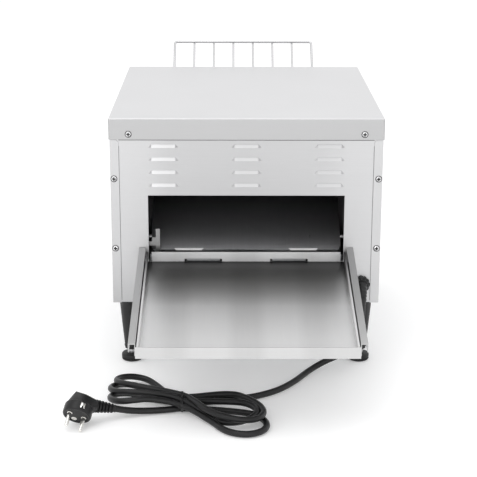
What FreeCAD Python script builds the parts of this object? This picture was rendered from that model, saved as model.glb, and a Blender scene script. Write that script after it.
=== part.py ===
import FreeCAD, Part
import math
import os

# Counter-top conveyor oven. Millimetres, +Z up, origin on the floor under the middle of the machine.
# The discharge side with the exit tray faces -Y, the feed side with the loading rack faces +Y.

V = FreeCAD.Vector

# Casing
LID_W = 370.4
LID_D = 418.0
LID_H = 354.0
LID_FLANGE = 28.8
BODY_W = 368.0
BODY_Z = 94.4
SHEET = 1.2
CORNER_FLANGE = 12.0
EDGE_R = 1.5
TRAY_REACH = 241.0
RACK_REACH = 104.5
Y_REAR = TRAY_REACH - (LID_D + TRAY_REACH + RACK_REACH) / 2
Y_FRONT = Y_REAR + LID_D
PANEL_REAR = Y_REAR + 2 * SHEET
PANEL_FRONT = Y_FRONT - 2 * SHEET
BAY_REAR = PANEL_REAR + SHEET
BAY_FRONT = PANEL_FRONT - SHEET
SIDE_IN = BODY_W / 2 - SHEET
PAN_TOP = BODY_Z + SHEET
PAN_RIM = 12.0

# Discharge opening and louvres of the rear panel
OPEN_HALF = 133.6
OPEN_TOP = LID_H - 106.5
SILL_Z = 154.0
LOUVRE_COLUMNS = (-112.0, 0.0, 112.0)
LOUVRE_TOP = LID_H - 35.3
LOUVRE_PITCH = 18.0
LOUVRE_ROWS = 4
LOUVRE_HALF = 20.0
LOUVRE_LIP_HALF = 16.0
LOUVRE_DEPTH = 3.0
LOUVRE_RISE = 4.6

# Oven chamber
WALL_X = 137.0
CHAMBER_FLOOR_Z = 150.0
WALL_TOP = LID_H - SHEET
BELT_Z = 245.0
BELT_HALF = 128.0
BELT_ROD_R = 1.0
SPROCKET_TEETH = 9
BELT_R = 18.5
DRIVE_Y = Y_REAR + 150.0
IDLER_Y = Y_REAR + 372.0
SHAFT_R = 5.0
BUSH_R = 8.0
RUNNING = 0.05
APART = 0.3
TUBE_R = 5.0
TUBE_OVERHANG = 8.0
UPPER_TUBE_Z = 320.0
LOWER_TUBE_Z = 251.0

# Feed opening and crumb tray slot of the front panel
FEED_Z = 249.0
FEED_TOP = LID_H - LID_FLANGE - 0.4
CRUMB_HALF = 128.0
CRUMB_Z = CHAMBER_FLOOR_Z + SHEET + APART
CRUMB_H = 14.0

# Deflector slide
SLIDE_HALF = 131.0
SLIDE_LOW = (Y_REAR + 14.0, 166.9)
SLIDE_ANGLE = 35.0
SLIDE_LENGTH = 119.0
TAB = (59.0, 98.8)
TAB_REACH = 5.5

# Exit tray
TRAY_HALF = 133.8
TRAY_DROP = 47.9
TRAY_WALL = 13.6
TRAY_LIP = 13.6
RAIL_IN = 137.7
RAIL_OUT = 146.8
RAIL_RISE = (17.7, 14.8)
TONGUE_HALF = 129.4
TONGUE_Z = SILL_Z + APART
TONGUE_END = Y_REAR + 10.8
BAR_H = 13.4
NOTCH = (33.0, 84.5)
NOTCH_H = 3.7

# Legs and levelling feet
LEG_X = 161.0
LEG_INSET = 30.0
LEG_TOP_R = 17.0
LEG_NECK_R = 10.0
LEG_NECK_Z = 17.0
PAD_R = 15.0
PAD_H = 10.0
STUD_R = 4.0
STUD_TOP = 56.0

# Loading rack
RACK_HALF = 114.8
RACK_WIRES = 8
RACK_R = 2.0
RACK_TOP = (Y_FRONT + RACK_REACH - RACK_R, LID_H + 24.8)
RACK_LOW = (Y_FRONT - 20.0, LID_H - 88.6)
RACK_BEND = 12.0

# Controls on the front
FASCIA_Z = (99.0, 147.0)
FASCIA_HALF = 150.0
CONTROL_Z = 123.0
SPEED_X = -100.0
HEAT_X = -40.0
LAMP_X = (15.0, 35.0)
SWITCH_X = 95.0
KNOB_R = 17.0
KNOB_L = 17.0
SPINDLE_R = 3.0

# Drive and cooling
CHAIN_X = 156.0
CHAIN_PITCH = 6.35
DRIVE_TEETH = 16
MOTOR_TEETH = 10
MOTOR_Y = Y_REAR + 175.0
MOTOR_Z = 123.0
FAN_Y = Y_REAR + 290.0
FAN_HALF = 40.0
FAN_H = 25.0
FAN_BORE = 38.0

# Mains cord
CORD_R = 4.25
GLAND = V(159.0, PANEL_REAR, 121.0)
LEAD = (
    V(159.0, Y_REAR - 26.0, 102.6),
    V(159.5, Y_REAR - 26.0, 82.0),
    V(156.0, Y_REAR - 14.0, 49.0),
    V(137.0, Y_REAR - 12.0, 24.0),
    V(110.0, Y_REAR - 13.5, 13.0),
    V(86.0, Y_REAR - 29.0, 4.4),
    V(67.0, Y_REAR - 65.0, 4.4),
    V(43.0, Y_REAR - 97.0, 4.4),
    V(13.0, Y_REAR - 118.0, 4.4),
    V(-16.0, Y_REAR - 128.0, 6.0),
)
PLUG_FACE = V(-215.0, Y_REAR - 210.0, 16.8)
PLUG_NORMAL = V(-0.18, -0.80, -0.57)
PLUG_CABLE = V(0.90, 0.33, -0.28)
PLUG_LEAD_BENDS = (
    V(-148.0, Y_REAR - 174.0, 8.0),
    V(-122.0, Y_REAR - 166.5, 5.0),
    V(-97.0, Y_REAR - 160.0, 5.0),
)
PLUG_R = 18.5
PLUG_DEPTH = 14.0
PLUG_NECK_BACK = 18.0
PLUG_REACH = 46.0
PIN_R = 2.4
PIN_L = 17.0
PIN_HALF_PITCH = 9.5
HANK_H = 26.0
HANK_OUTLINE = (
    (-150.0, -58.0),
    (-171.0, -67.0),
    (-182.0, -90.0),
    (-186.0, -115.0),
    (-184.0, -143.0),
    (-172.0, -158.0),
    (-140.0, -161.0),
    (-108.0, -158.5),
    (-84.0, -166.0),
    (-50.0, -202.0),
    (-14.0, -240.0),
    (8.0, -242.0),
    (25.0, -229.0),
    (29.0, -207.0),
    (22.0, -175.0),
    (0.0, -140.0),
    (-28.0, -124.0),
    (-60.0, -128.0),
    (-84.0, -137.0),
    (-108.0, -103.0),
    (-130.0, -65.0),
)
TIE = (-84.0, -152.5)
TIE_HALF = 18.5


def box(x0, x1, y0, y1, z0, z1):
    return Part.makeBox(x1 - x0, y1 - y0, z1 - z0, V(x0, y0, z0))


def rod(start, direction, radius, length):
    return Part.makeCylinder(radius, length, start, direction)


def tube(start, direction, outer, inner, length):
    return rod(start, direction, outer, length).cut(rod(start, direction, inner, length))


def join(pieces):
    whole = pieces[0].multiFuse(pieces[1:]) if len(pieces) > 1 else pieces[0]
    return whole.removeSplitter()


def group(pieces):
    return Part.makeCompound(pieces)


def prism_x(outline, x0, x1):
    points = [V(x0, y, z) for y, z in outline]
    return Part.Face(Part.makePolygon(points + points[:1])).extrude(V(x1 - x0, 0, 0))


def prism_z(outline, z0, z1):
    points = [V(x, y, z0) for x, y in outline]
    return Part.Face(Part.makePolygon(points + points[:1])).extrude(V(0, 0, z1 - z0))


def polyhedron(faces):
    shells = [Part.Face(Part.makePolygon(list(face) + [face[0]])) for face in faces]
    return Part.Solid(Part.Shell(shells))


def mirror_x(shape):
    return shape.mirror(V(0, 0, 0), V(1, 0, 0))


def save(name, shape):
    shape.exportStep(f"parts/{name}.step")


def top_cover():
    half = LID_W / 2
    outer = box(-half, half, Y_REAR, Y_FRONT, LID_H - LID_FLANGE, LID_H)
    edges = [e for e in outer.Edges if min(v.Z for v in e.Vertexes) > LID_H - 1]
    edges += [e for e in outer.Edges if abs(e.Vertexes[0].Z - e.Vertexes[1].Z) > 1]
    outer = outer.makeFillet(EDGE_R, edges)
    inner = box(-half + SHEET, half - SHEET, Y_REAR + SHEET, Y_FRONT - SHEET, 0, LID_H - SHEET)
    return outer.cut(inner)


def side_cover():
    """The right-hand cover: a side wall with a flange round each upright corner."""
    low, high = BODY_Z, LID_H - LID_FLANGE - 0.6
    y0, y1 = Y_REAR + SHEET, Y_FRONT - SHEET
    wall = box(SIDE_IN, BODY_W / 2, y0, y1, low, LID_H - SHEET)
    flanges = []
    for y in (y0, y1 - SHEET):
        flange = box(BODY_W / 2 - CORNER_FLANGE, BODY_W / 2, y, y + SHEET, low, high)
        corner = [
            e
            for e in flange.Edges
            if all(v.X < SIDE_IN and v.Z > high - 1 for v in e.Vertexes)
        ]
        flanges.append(flange.makeFillet(5.0, corner))
    shape = join([wall] + flanges)
    for k in range(LOUVRE_ROWS):
        hood, hollow = louvre(0, 0)
        for piece in (hood, hollow):
            piece.rotate(V(0, 0, 0), V(0, 0, 1), 90)
            piece.translate(V(BODY_W / 2, Y_REAR + 300, 190 - k * LOUVRE_PITCH))
        shape = shape.fuse(hood).cut(hollow)
    return shape.removeSplitter()


def louvre(x, z):
    """A pressed hood open at its lower edge, and the hollow behind it, on a wall whose outside is y = 0."""

    def wedge(half, lip_half, depth, rise, back):
        a, b = V(-half, back, -rise), V(half, back, -rise)
        c, d = V(lip_half, -depth, -rise), V(-lip_half, -depth, -rise)
        e, f = V(-lip_half, back, 0), V(lip_half, back, 0)
        return polyhedron([(a, b, c, d), (a, e, f, b), (d, c, f, e), (a, d, e), (b, f, c)])

    side, skin, roof = 2.0, 0.8, 1.4
    hood = wedge(LOUVRE_HALF, LOUVRE_LIP_HALF, LOUVRE_DEPTH, LOUVRE_RISE, 0)
    hollow = wedge(
        LOUVRE_HALF - side,
        LOUVRE_LIP_HALF - side + 0.5,
        LOUVRE_DEPTH - skin,
        LOUVRE_RISE - roof + 0.2,
        SHEET + 0.5,
    )
    hollow.translate(V(0, 0, -roof))
    for piece in (hood, hollow):
        piece.translate(V(x, 0, z))
    return hood, hollow


def rear_panel():
    panel = box(-SIDE_IN, SIDE_IN, PANEL_REAR, BAY_REAR, PAN_TOP, LID_H - SHEET)
    panel = panel.cut(box(-OPEN_HALF, OPEN_HALF, Y_REAR, BAY_REAR + 1, SILL_Z, OPEN_TOP))
    panel = panel.cut(rod(V(GLAND.x, Y_REAR, GLAND.z), V(0, 1, 0), 8.0, 10))
    for x in LOUVRE_COLUMNS:
        for k in range(LOUVRE_ROWS):
            hood, hollow = louvre(x, LOUVRE_TOP - k * LOUVRE_PITCH)
            for piece in (hood, hollow):
                piece.translate(V(0, PANEL_REAR, 0))
            panel = panel.fuse(hood).cut(hollow)
    return panel.removeSplitter()


def front_panel():
    panel = box(-SIDE_IN, SIDE_IN, BAY_FRONT, PANEL_FRONT, PAN_TOP, LID_H - SHEET)
    y0, y1 = BAY_FRONT - 1, Y_FRONT
    cuts = [
        box(-OPEN_HALF, OPEN_HALF, y0, y1, FEED_Z, FEED_TOP),
        box(-CRUMB_HALF - 1, CRUMB_HALF + 1, y0, y1, CRUMB_Z - APART, CRUMB_Z + CRUMB_H + 1),
        box(SWITCH_X - 11.6, SWITCH_X + 11.6, y0, y1, CONTROL_Z - 14, CONTROL_Z + 14),
    ]
    cuts += [rod(V(x, y0, CONTROL_Z), V(0, 1, 0), SPINDLE_R + 0.6, 10) for x in (SPEED_X, HEAT_X)]
    cuts += [rod(V(x, y0, CONTROL_Z), V(0, 1, 0), 4.0, 10) for x in LAMP_X]
    return panel.cut(group(cuts))


def base_pan():
    pan = box(-SIDE_IN, SIDE_IN, BAY_REAR, BAY_FRONT, BODY_Z, PAN_TOP)
    walls = [
        box(-SIDE_IN, SIDE_IN, BAY_REAR, BAY_REAR + SHEET, PAN_TOP, PAN_TOP + PAN_RIM),
        box(-SIDE_IN, SIDE_IN, BAY_FRONT - SHEET, BAY_FRONT, PAN_TOP, PAN_TOP + PAN_RIM),
    ]
    slots = []
    for k in range(-3, 4):
        offset = k * 9.0
        reach = math.sqrt(FAN_BORE**2 - offset**2) - 3
        slots.append(box(-reach, reach, FAN_Y + offset - 2, FAN_Y + offset + 2, BODY_Z - 1, PAN_TOP + 1))
    return join([pan] + walls).cut(group(slots))


def inner_wall():
    """The right-hand wall of the oven, with holes for the two shaft bushes and the motor shaft."""
    x0, through = WALL_X - 1, SHEET + 2
    rim_top = PAN_TOP + PAN_RIM + 0.5
    cuts = [
        box(x0, x0 + through, BAY_REAR - 1, BAY_REAR + SHEET, 0, rim_top),
        box(x0, x0 + through, BAY_FRONT - SHEET, BAY_FRONT + 1, 0, rim_top),
    ]
    cuts += [rod(V(x0, y, BELT_Z), V(1, 0, 0), BUSH_R, through) for y in (DRIVE_Y, IDLER_Y)]
    for y in tube_places():
        cuts += [rod(V(x0, y, z), V(1, 0, 0), TUBE_R + 0.5, through) for z in (UPPER_TUBE_Z, LOWER_TUBE_Z)]
    wall = box(WALL_X, WALL_X + SHEET, BAY_REAR, BAY_FRONT, PAN_TOP, WALL_TOP)
    return wall.cut(group(cuts))


def chamber_floor():
    return box(-WALL_X, WALL_X, BAY_REAR + 25, BAY_FRONT, CHAMBER_FLOOR_Z, CHAMBER_FLOOR_Z + SHEET)


def upper_reflector():
    z = 334.0
    y0, y1 = DRIVE_Y - 10, IDLER_Y + 6
    plate = box(-WALL_X, WALL_X, y0, y1, z, z + SHEET)
    lips = [
        box(-WALL_X, WALL_X, y0, y0 + SHEET, z - 12, z),
        box(-WALL_X, WALL_X, y1 - SHEET, y1, z - 12, z),
    ]
    return join([plate] + lips)


def lower_reflector():
    y0, y1 = DRIVE_Y + 26, IDLER_Y - 26
    outline = [
        (y0, 242.0),
        (y0 + 8, 238.0),
        (y1 - 8, 238.0),
        (y1, 242.0),
        (y1, 243.2),
        (y1 - 8, 239.2),
        (y0 + 8, 239.2),
        (y0, 243.2),
    ]
    return prism_x(outline, -WALL_X, WALL_X)


def tube_places():
    return [DRIVE_Y + 40 + k * 47.0 for k in range(4)]


def quartz_tubes(z):
    length = 2 * (WALL_X + TUBE_OVERHANG)
    return group([rod(V(-length / 2, y, z), V(1, 0, 0), TUBE_R, length) for y in tube_places()])


def tube_holders():
    """Ceramic caps over the tube ends, outside the oven walls."""
    caps = []
    x0 = WALL_X + SHEET
    half, length = 9.0, 18.0
    for y in tube_places():
        for z in (UPPER_TUBE_Z, LOWER_TUBE_Z):
            cap = box(x0, x0 + length, y - half, y + half, z - half, z + half)
            cap = cap.cut(rod(V(x0 - 1, y, z), V(1, 0, 0), TUBE_R, TUBE_OVERHANG - SHEET + 1))
            caps += [cap, mirror_x(cap)]
    return group(caps)


def conveyor_belt():
    """Cross rods carried by three narrow bands, in one loop round the two shafts."""
    run = IDLER_Y - DRIVE_Y
    total = 2 * run + 2 * math.pi * BELT_R
    count = round(total / (2 * BELT_R * math.sin(math.pi / SPROCKET_TEETH)))
    rods = []
    for k in range(count):
        y, z = on_loop(k * total / count, run)
        rods.append(rod(V(-BELT_HALF, DRIVE_Y + y, BELT_Z + z), V(1, 0, 0), BELT_ROD_R, 2 * BELT_HALF))
    bands = [band(x, 2.0, DRIVE_Y, IDLER_Y, BELT_Z, BELT_Z, BELT_R, BELT_R, 1.2) for x in (-124, -1, 122)]
    return join(bands + rods)


def on_loop(s, run):
    half_turn = math.pi * BELT_R
    if s < run:
        return s, BELT_R
    if s < run + half_turn:
        a = (s - run) / BELT_R
        return run + BELT_R * math.sin(a), BELT_R * math.cos(a)
    if s < 2 * run + half_turn:
        return run - (s - run - half_turn), -BELT_R
    a = (s - 2 * run - half_turn) / BELT_R
    return -BELT_R * math.sin(a), -BELT_R * math.cos(a)


def loop_face(x, y0, z0, r0, y1, z1, r1):
    """The area inside a taut loop round two circles in a plane of constant x."""
    along = V(0, y1 - y0, z1 - z0)
    span = along.Length
    along.normalize()
    across = V(0, -along.z, along.y)
    lean = math.asin((r0 - r1) / span)
    points = []
    for side in (1, -1):
        out = along * math.sin(lean) + across * (side * math.cos(lean))
        points.append((V(x, y0, z0) + out * r0, V(x, y1, z1) + out * r1))
    back = V(x, y0, z0) - along * r0
    tip = V(x, y1, z1) + along * r1
    edges = [
        Part.LineSegment(points[0][0], points[0][1]).toShape(),
        Part.Arc(points[0][1], tip, points[1][1]).toShape(),
        Part.LineSegment(points[1][1], points[1][0]).toShape(),
        Part.Arc(points[1][0], back, points[0][0]).toShape(),
    ]
    return Part.Face(Part.Wire(edges))


def band(x, width, y0, y1, z0, z1, r0, r1, thick):
    half = thick / 2
    outer = loop_face(x, y0, z0, r0 + half, y1, z1, r1 + half).extrude(V(width, 0, 0))
    inner = loop_face(x, y0, z0, r0 - half, y1, z1, r1 - half).extrude(V(width, 0, 0))
    return outer.cut(inner)


def sprocket(x, width, y, z, outer, teeth, root, bore):
    """A wheel whose tooth gaps are round notches."""
    wheel = rod(V(x, y, z), V(1, 0, 0), outer, width)
    gap = math.pi * outer / teeth / 2
    for k in range(teeth):
        a = 2 * math.pi * k / teeth
        centre = V(x - 1, y + (root + gap) * math.cos(a), z + (root + gap) * math.sin(a))
        wheel = wheel.cut(rod(centre, V(1, 0, 0), gap, width + 2))
    return wheel.cut(rod(V(x - 1, y, z), V(1, 0, 0), bore, width + 2))


def belt_sprockets(y):
    outer = BELT_R - BELT_ROD_R - APART
    places = (-113.0, -13.0, 107.0)
    return group([sprocket(x, 6.0, y, BELT_Z, outer, SPROCKET_TEETH, outer - 3, SHAFT_R) for x in places])


def drive_shaft():
    return rod(V(-148, DRIVE_Y, BELT_Z), V(1, 0, 0), SHAFT_R, 148 + CHAIN_X + 6)


def idler_shaft():
    return rod(V(-148, IDLER_Y, BELT_Z), V(1, 0, 0), SHAFT_R, 296)


def shaft_bushes():
    """Flanged bushes in the oven walls, two to a shaft."""
    bushes = []
    for y in (DRIVE_Y, IDLER_Y):
        sleeve = tube(V(WALL_X - 2, y, BELT_Z), V(1, 0, 0), BUSH_R, SHAFT_R + RUNNING, 8)
        collar = tube(V(WALL_X + SHEET, y, BELT_Z), V(1, 0, 0), BUSH_R + 3, SHAFT_R + RUNNING, 2.5)
        bush = join([sleeve, collar])
        bushes += [bush, mirror_x(bush)]
    return group(bushes)


def chain_radius(teeth):
    return CHAIN_PITCH / (2 * math.sin(math.pi / teeth))


def drive_chain():
    r0, r1 = chain_radius(DRIVE_TEETH), chain_radius(MOTOR_TEETH)
    return band(CHAIN_X - 1.5, 3.0, DRIVE_Y, MOTOR_Y, BELT_Z, MOTOR_Z, r0, r1, 3.2)


def chain_sprocket():
    outer = chain_radius(DRIVE_TEETH) - 1.6 - APART
    wheel = sprocket(CHAIN_X - 1.2, 2.4, DRIVE_Y, BELT_Z, outer, DRIVE_TEETH, outer - 1.6, SHAFT_R)
    hub = tube(V(CHAIN_X - 7, DRIVE_Y, BELT_Z), V(1, 0, 0), 9.0, SHAFT_R, 6)
    return join([wheel, hub])


def motor_output():
    outer = chain_radius(MOTOR_TEETH) - 1.6 - APART
    wheel = sprocket(CHAIN_X - 1.2, 2.4, MOTOR_Y, MOTOR_Z, outer, MOTOR_TEETH, outer - 1.6, 3.0)
    spindle = rod(V(WALL_X - 6, MOTOR_Y, MOTOR_Z), V(1, 0, 0), 4.0, 12)
    neck = rod(V(WALL_X + 6, MOTOR_Y, MOTOR_Z), V(1, 0, 0), 3.0, CHAIN_X + 3 - WALL_X - 6)
    return join([wheel, spindle, neck])


def gear_motor():
    """Round motor with a gearbox, its end face on the right-hand oven wall."""
    gearbox = rod(V(WALL_X - 24, MOTOR_Y, MOTOR_Z), V(1, 0, 0), 24.0, 24)
    can = rod(V(WALL_X - 74, MOTOR_Y, MOTOR_Z), V(1, 0, 0), 18.0, 50)
    rear = rod(V(WALL_X - 80, MOTOR_Y, MOTOR_Z), V(1, 0, 0), 7.0, 6)
    bore = rod(V(WALL_X - 7, MOTOR_Y, MOTOR_Z), V(1, 0, 0), 4.0 + RUNNING, 8)
    return join([gearbox, can, rear]).cut(bore)


def fan_frame():
    z0 = PAN_TOP
    frame = box(-FAN_HALF, FAN_HALF, FAN_Y - FAN_HALF, FAN_Y + FAN_HALF, z0, z0 + FAN_H)
    frame = frame.cut(rod(V(0, FAN_Y, z0 - 1), V(0, 0, 1), FAN_BORE, FAN_H + 2))
    waist = tube(V(0, FAN_Y, z0 + 5), V(0, 0, 1), 60.0, FAN_BORE + 1.5, FAN_H - 10)
    keep = rod(V(0, FAN_Y, z0 + 4), V(0, 0, 1), FAN_BORE + 2, FAN_H - 8)
    frame = frame.cut(waist.cut(keep))
    struts = [rod(V(0, FAN_Y, z0), V(0, 0, 1), 15.0, 3)]
    for k in range(3):
        strut = box(-2, 2, FAN_Y, FAN_Y + FAN_BORE + 1, z0, z0 + 3)
        strut.rotate(V(0, FAN_Y, 0), V(0, 0, 1), 120 * k)
        struts.append(strut)
    pin = rod(V(0, FAN_Y, z0 + 3), V(0, 0, 1), 2.0, 14)
    return join([frame] + struts + [pin])


def fan_rotor():
    z0 = PAN_TOP + 3 + APART
    hub = rod(V(0, FAN_Y, z0), V(0, 0, 1), 16.0, 20)
    blades = []
    for k in range(7):
        blade = box(12, FAN_BORE - 1.5, FAN_Y - 0.8, FAN_Y + 0.8, z0 + 1, z0 + 19)
        blade.rotate(V(25, FAN_Y, z0 + 10), V(1, 0, 0), 48)
        blade.rotate(V(0, FAN_Y, 0), V(0, 0, 1), 360 / 7 * k)
        blades.append(blade)
    return join([hub] + blades).cut(rod(V(0, FAN_Y, z0 - 1), V(0, 0, 1), 2.0 + RUNNING, 15))


def control_board():
    board = box(-120, -60, Y_REAR + 120, Y_REAR + 190, PAN_TOP + 6, PAN_TOP + 7.6)
    posts = [rod(V(x, Y_REAR + y, PAN_TOP), V(0, 0, 1), 3.0, 6) for x in (-115, -65) for y in (125, 185)]
    parts = [
        box(-112, -92, Y_REAR + 135, Y_REAR + 160, PAN_TOP + 7.6, PAN_TOP + 25),
        box(-84, -68, Y_REAR + 132, Y_REAR + 142, PAN_TOP + 7.6, PAN_TOP + 18),
        rod(V(-76, Y_REAR + 165, PAN_TOP + 7.6), V(0, 0, 1), 7.0, 20),
    ]
    return join([board] + posts + parts)


def terminal_block():
    block = box(60, 130, Y_REAR + 40, Y_REAR + 62, PAN_TOP, PAN_TOP + 18)
    holes = [rod(V(70 + 12.5 * k, Y_REAR + 51, PAN_TOP + 8), V(0, 0, 1), 3.2, 12) for k in range(5)]
    return block.cut(group(holes))


def sill_rail():
    """The folded edge under the discharge opening, with two lugs over the tray's tongue."""
    depth = Y_REAR + 24.0
    parts = [box(-133.0, 133.0, BAY_REAR, depth, SILL_Z - SHEET, SILL_Z)]
    parts.append(box(-133.0, 133.0, depth - SHEET, depth, SILL_Z, SILL_Z + 4.0))
    for side in (-1, 1):
        x0, x1 = sorted((side * (NOTCH[0] + 3), side * (NOTCH[1] - 3)))
        parts.append(box(x0, x1, Y_REAR - 2.4, depth, SILL_Z + 2.8, SILL_Z + 4.0))
    return join(parts)


def slide_profile(offset, length, start=0.0):
    """Lower and upper ends of a line parallel to the deflector, that far above it."""
    a = math.radians(SLIDE_ANGLE)
    y, z = SLIDE_LOW
    y -= offset * math.sin(a)
    z += offset * math.cos(a)
    ends = []
    for s in (start, length):
        ends.append((y + s * math.cos(a), z + s * math.sin(a)))
    return ends


def deflector_slide():
    low, high = slide_profile(0, SLIDE_LENGTH), slide_profile(SHEET, SLIDE_LENGTH)
    plate = prism_x([low[0], low[1], high[1], high[0]], -SLIDE_HALF, SLIDE_HALF)
    y, z = SLIDE_LOW
    for side in (-1, 1):
        corner = [
            (side * (SLIDE_HALF + 1), y - 9),
            (side * (SLIDE_HALF - 7), y - 9),
            (side * (SLIDE_HALF + 1), y + 8),
        ]
        plate = plate.cut(prism_z(corner, z - 10, z + 20))
    return plate


def slide_tabs():
    """Two plates that lie on the deflector's lower edge and reach forward over the sill."""
    y, z = SLIDE_LOW
    tabs = []
    for side in (-1, 1):
        inner, outer = TAB
        outline = [
            (side * inner, y + 0.6),
            (side * outer, y + 0.6),
            (side * (outer - 2), y - TAB_REACH),
            (side * (inner + 2), y - TAB_REACH),
        ]
        tabs.append(prism_z(outline, z + 1.2, z + 1.2 + SHEET))
    return group(tabs).cut(deflector_slide())


def deflector_rods():
    """Two cross rods under the deflector, from wall to wall."""
    rods = []
    for s in (26.0, SLIDE_LENGTH - 12.0):
        y, z = slide_profile(-3.0, s, s)[0]
        rods.append(rod(V(-WALL_X, y, z), V(1, 0, 0), 3.0, 2 * WALL_X))
    return group(rods)


def slide_latch():
    """A strap in front of the deflector, on a stepped arm from the left-hand oven wall."""
    y0, y1 = Y_REAR + 10.6, Y_REAR + 11.8
    strap = box(-124.2, -118.5, y0, y1, 164.4, 198.0)
    arm = box(-129.2, -124.2, y0, y1, 174.2, 185.7)
    foot = box(-WALL_X, -129.2, y0, y1, 174.2, 180.0)
    return join([strap, arm, foot])


def tray_line(y):
    """Height of the tray floor's upper face."""
    start = Y_REAR - 3.0
    end = Y_REAR - TRAY_REACH + SHEET
    return TONGUE_Z + SHEET - TRAY_DROP * (start - y) / (start - end)


def exit_tray():
    start = Y_REAR - 3.0
    end = Y_REAR - TRAY_REACH
    z0, z1 = TONGUE_Z + SHEET, tray_line(end)
    floor = prism_x([(start, z0 - SHEET), (start, z0), (end, z1), (end, z1 - SHEET)], -RAIL_IN, RAIL_IN)
    wall_outline = [(start, z0), (start, z0 + TRAY_WALL), (end, z1 + TRAY_WALL), (end, z1)]
    wall = prism_x(wall_outline, TRAY_HALF, TRAY_HALF + SHEET)
    hem_outline = [
        (start, z0 + TRAY_WALL - SHEET),
        (start, z0 + TRAY_WALL),
        (end, z1 + TRAY_WALL),
        (end, z1 + TRAY_WALL - SHEET),
    ]
    hem = prism_x(hem_outline, TRAY_HALF, TRAY_HALF + 2.4)
    lip = box(-RAIL_IN, RAIL_IN, end, end + SHEET, z1 - SHEET, z1 + TRAY_LIP)
    tongue = box(-TONGUE_HALF, TONGUE_HALF, start - 0.5, TONGUE_END, TONGUE_Z, z0)
    bar = box(-TONGUE_HALF, TONGUE_HALF, start, start + SHEET, z0, z0 + BAR_H)
    tray = join([floor, wall, mirror_x(wall), hem, mirror_x(hem), lip, tongue, bar])
    for side in (-1, 1):
        x0, x1 = sorted((side * NOTCH[0], side * NOTCH[1]))
        tray = tray.cut(box(x0, x1, start - 1, start + SHEET + 1, z0, z0 + NOTCH_H))
    return tray


def tray_rails():
    """Folded rails on both outer edges of the tray, each open below."""
    start = Y_REAR + SHEET - APART
    end = Y_REAR - TRAY_REACH + 6.0

    def strip(x0, x1, low, high):
        outline = [
            (start, tray_line(start) + low[0]),
            (start, tray_line(start) + high[0]),
            (end, tray_line(end) + high[1]),
            (end, tray_line(end) + low[1]),
        ]
        return prism_x(outline, x0, x1)

    def below_top(depth):
        return [rise - depth for rise in RAIL_RISE]

    inner = strip(RAIL_IN, RAIL_IN + SHEET, (-SHEET, -SHEET), RAIL_RISE)
    top = strip(RAIL_IN, RAIL_OUT, below_top(SHEET), RAIL_RISE)
    outer = strip(RAIL_OUT - SHEET, RAIL_OUT, below_top(11), RAIL_RISE)
    rail = join([inner, top, outer])
    return group([rail, mirror_x(rail)])


def crumb_tray():
    y0, y1 = BAY_REAR + 30.0, Y_FRONT - SHEET
    outer = box(-CRUMB_HALF, CRUMB_HALF, y0, y1, CRUMB_Z, CRUMB_Z + CRUMB_H)
    half = CRUMB_HALF - SHEET
    inner = box(-half, half, y0 + SHEET, y1 - SHEET, CRUMB_Z + SHEET, CRUMB_Z + CRUMB_H + 1)
    pan = outer.cut(inner)
    face = box(-CRUMB_HALF - 6, CRUMB_HALF + 6, y1, y1 + SHEET, CRUMB_Z - 1, CRUMB_Z + CRUMB_H + 5)
    grip = box(-40, 40, y1 + SHEET, y1 + SHEET + 16, CRUMB_Z + 7, CRUMB_Z + 7 + SHEET)
    turned = box(-40, 40, y1 + 16, y1 + SHEET + 16, CRUMB_Z + 3, CRUMB_Z + 7)
    return join([pan, face, grip, turned])


def rack_point(s):
    return (
        RACK_LOW[0] + (RACK_TOP[0] - RACK_LOW[0]) * s,
        RACK_LOW[1] + (RACK_TOP[1] - RACK_LOW[1]) * s,
    )


def wire(points, radius=RACK_R):
    """A bent wire with round corners."""
    edges = round_path(points, RACK_BEND)
    path = Part.Wire(edges)
    start = points[0]
    direction = points[1] - points[0]
    profile = Part.Wire([Part.makeCircle(radius, start, direction)])
    return path.makePipeShell([profile], True, True)


def round_path(points, radius=None):
    """Straight runs joined by tangent arcs. With no radius each arc is as large as its two runs allow."""
    edges = []
    here = points[0]
    for a, b, c in zip(points, points[1:], points[2:]):
        back, ahead = a - b, c - b
        shorter = min(back.Length, ahead.Length)
        back.normalize()
        ahead.normalize()
        turn = math.pi - back.getAngle(ahead)
        size = radius or 0.45 * shorter / math.tan(turn / 2)
        cut = size * math.tan(turn / 2)
        first, last = b + back * cut, b + ahead * cut
        bisector = back + ahead
        bisector.normalize()
        middle = b + bisector * (size / math.cos(turn / 2) - size)
        edges.append(Part.LineSegment(here, first).toShape())
        edges.append(Part.Arc(first, middle, last).toShape())
        here = last
    edges.append(Part.LineSegment(here, points[-1]).toShape())
    return edges


def wire_rack():
    """Parallel wires welded to a hoop, with a leg that leans on the front panel."""
    low, high = rack_point(0), rack_point(1)
    hoop = wire(
        [
            V(-RACK_HALF, *low),
            V(-RACK_HALF, *high),
            V(RACK_HALF, *high),
            V(RACK_HALF, *low),
        ]
    )
    pitch = 2 * RACK_HALF / (RACK_WIRES - 1)
    lean = V(0, high[0] - low[0], high[1] - low[1])
    inner = []
    for k in range(1, RACK_WIRES - 1):
        inner.append(rod(V(-RACK_HALF + k * pitch, *low), lean, RACK_R, lean.Length))
    cross = [rod(V(-RACK_HALF - 4, *low), V(1, 0, 0), RACK_R, 2 * RACK_HALF + 8)]
    knee = rack_point(0.55)
    foot_y = PANEL_FRONT + RACK_R + APART
    foot_z = FEED_Z - 20.0
    leg = wire(
        [
            V(-RACK_HALF, *knee),
            V(-RACK_HALF, foot_y, foot_z),
            V(RACK_HALF, foot_y, foot_z),
            V(RACK_HALF, *knee),
        ]
    )
    return join([hoop] + inner + cross + [leg])


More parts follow.
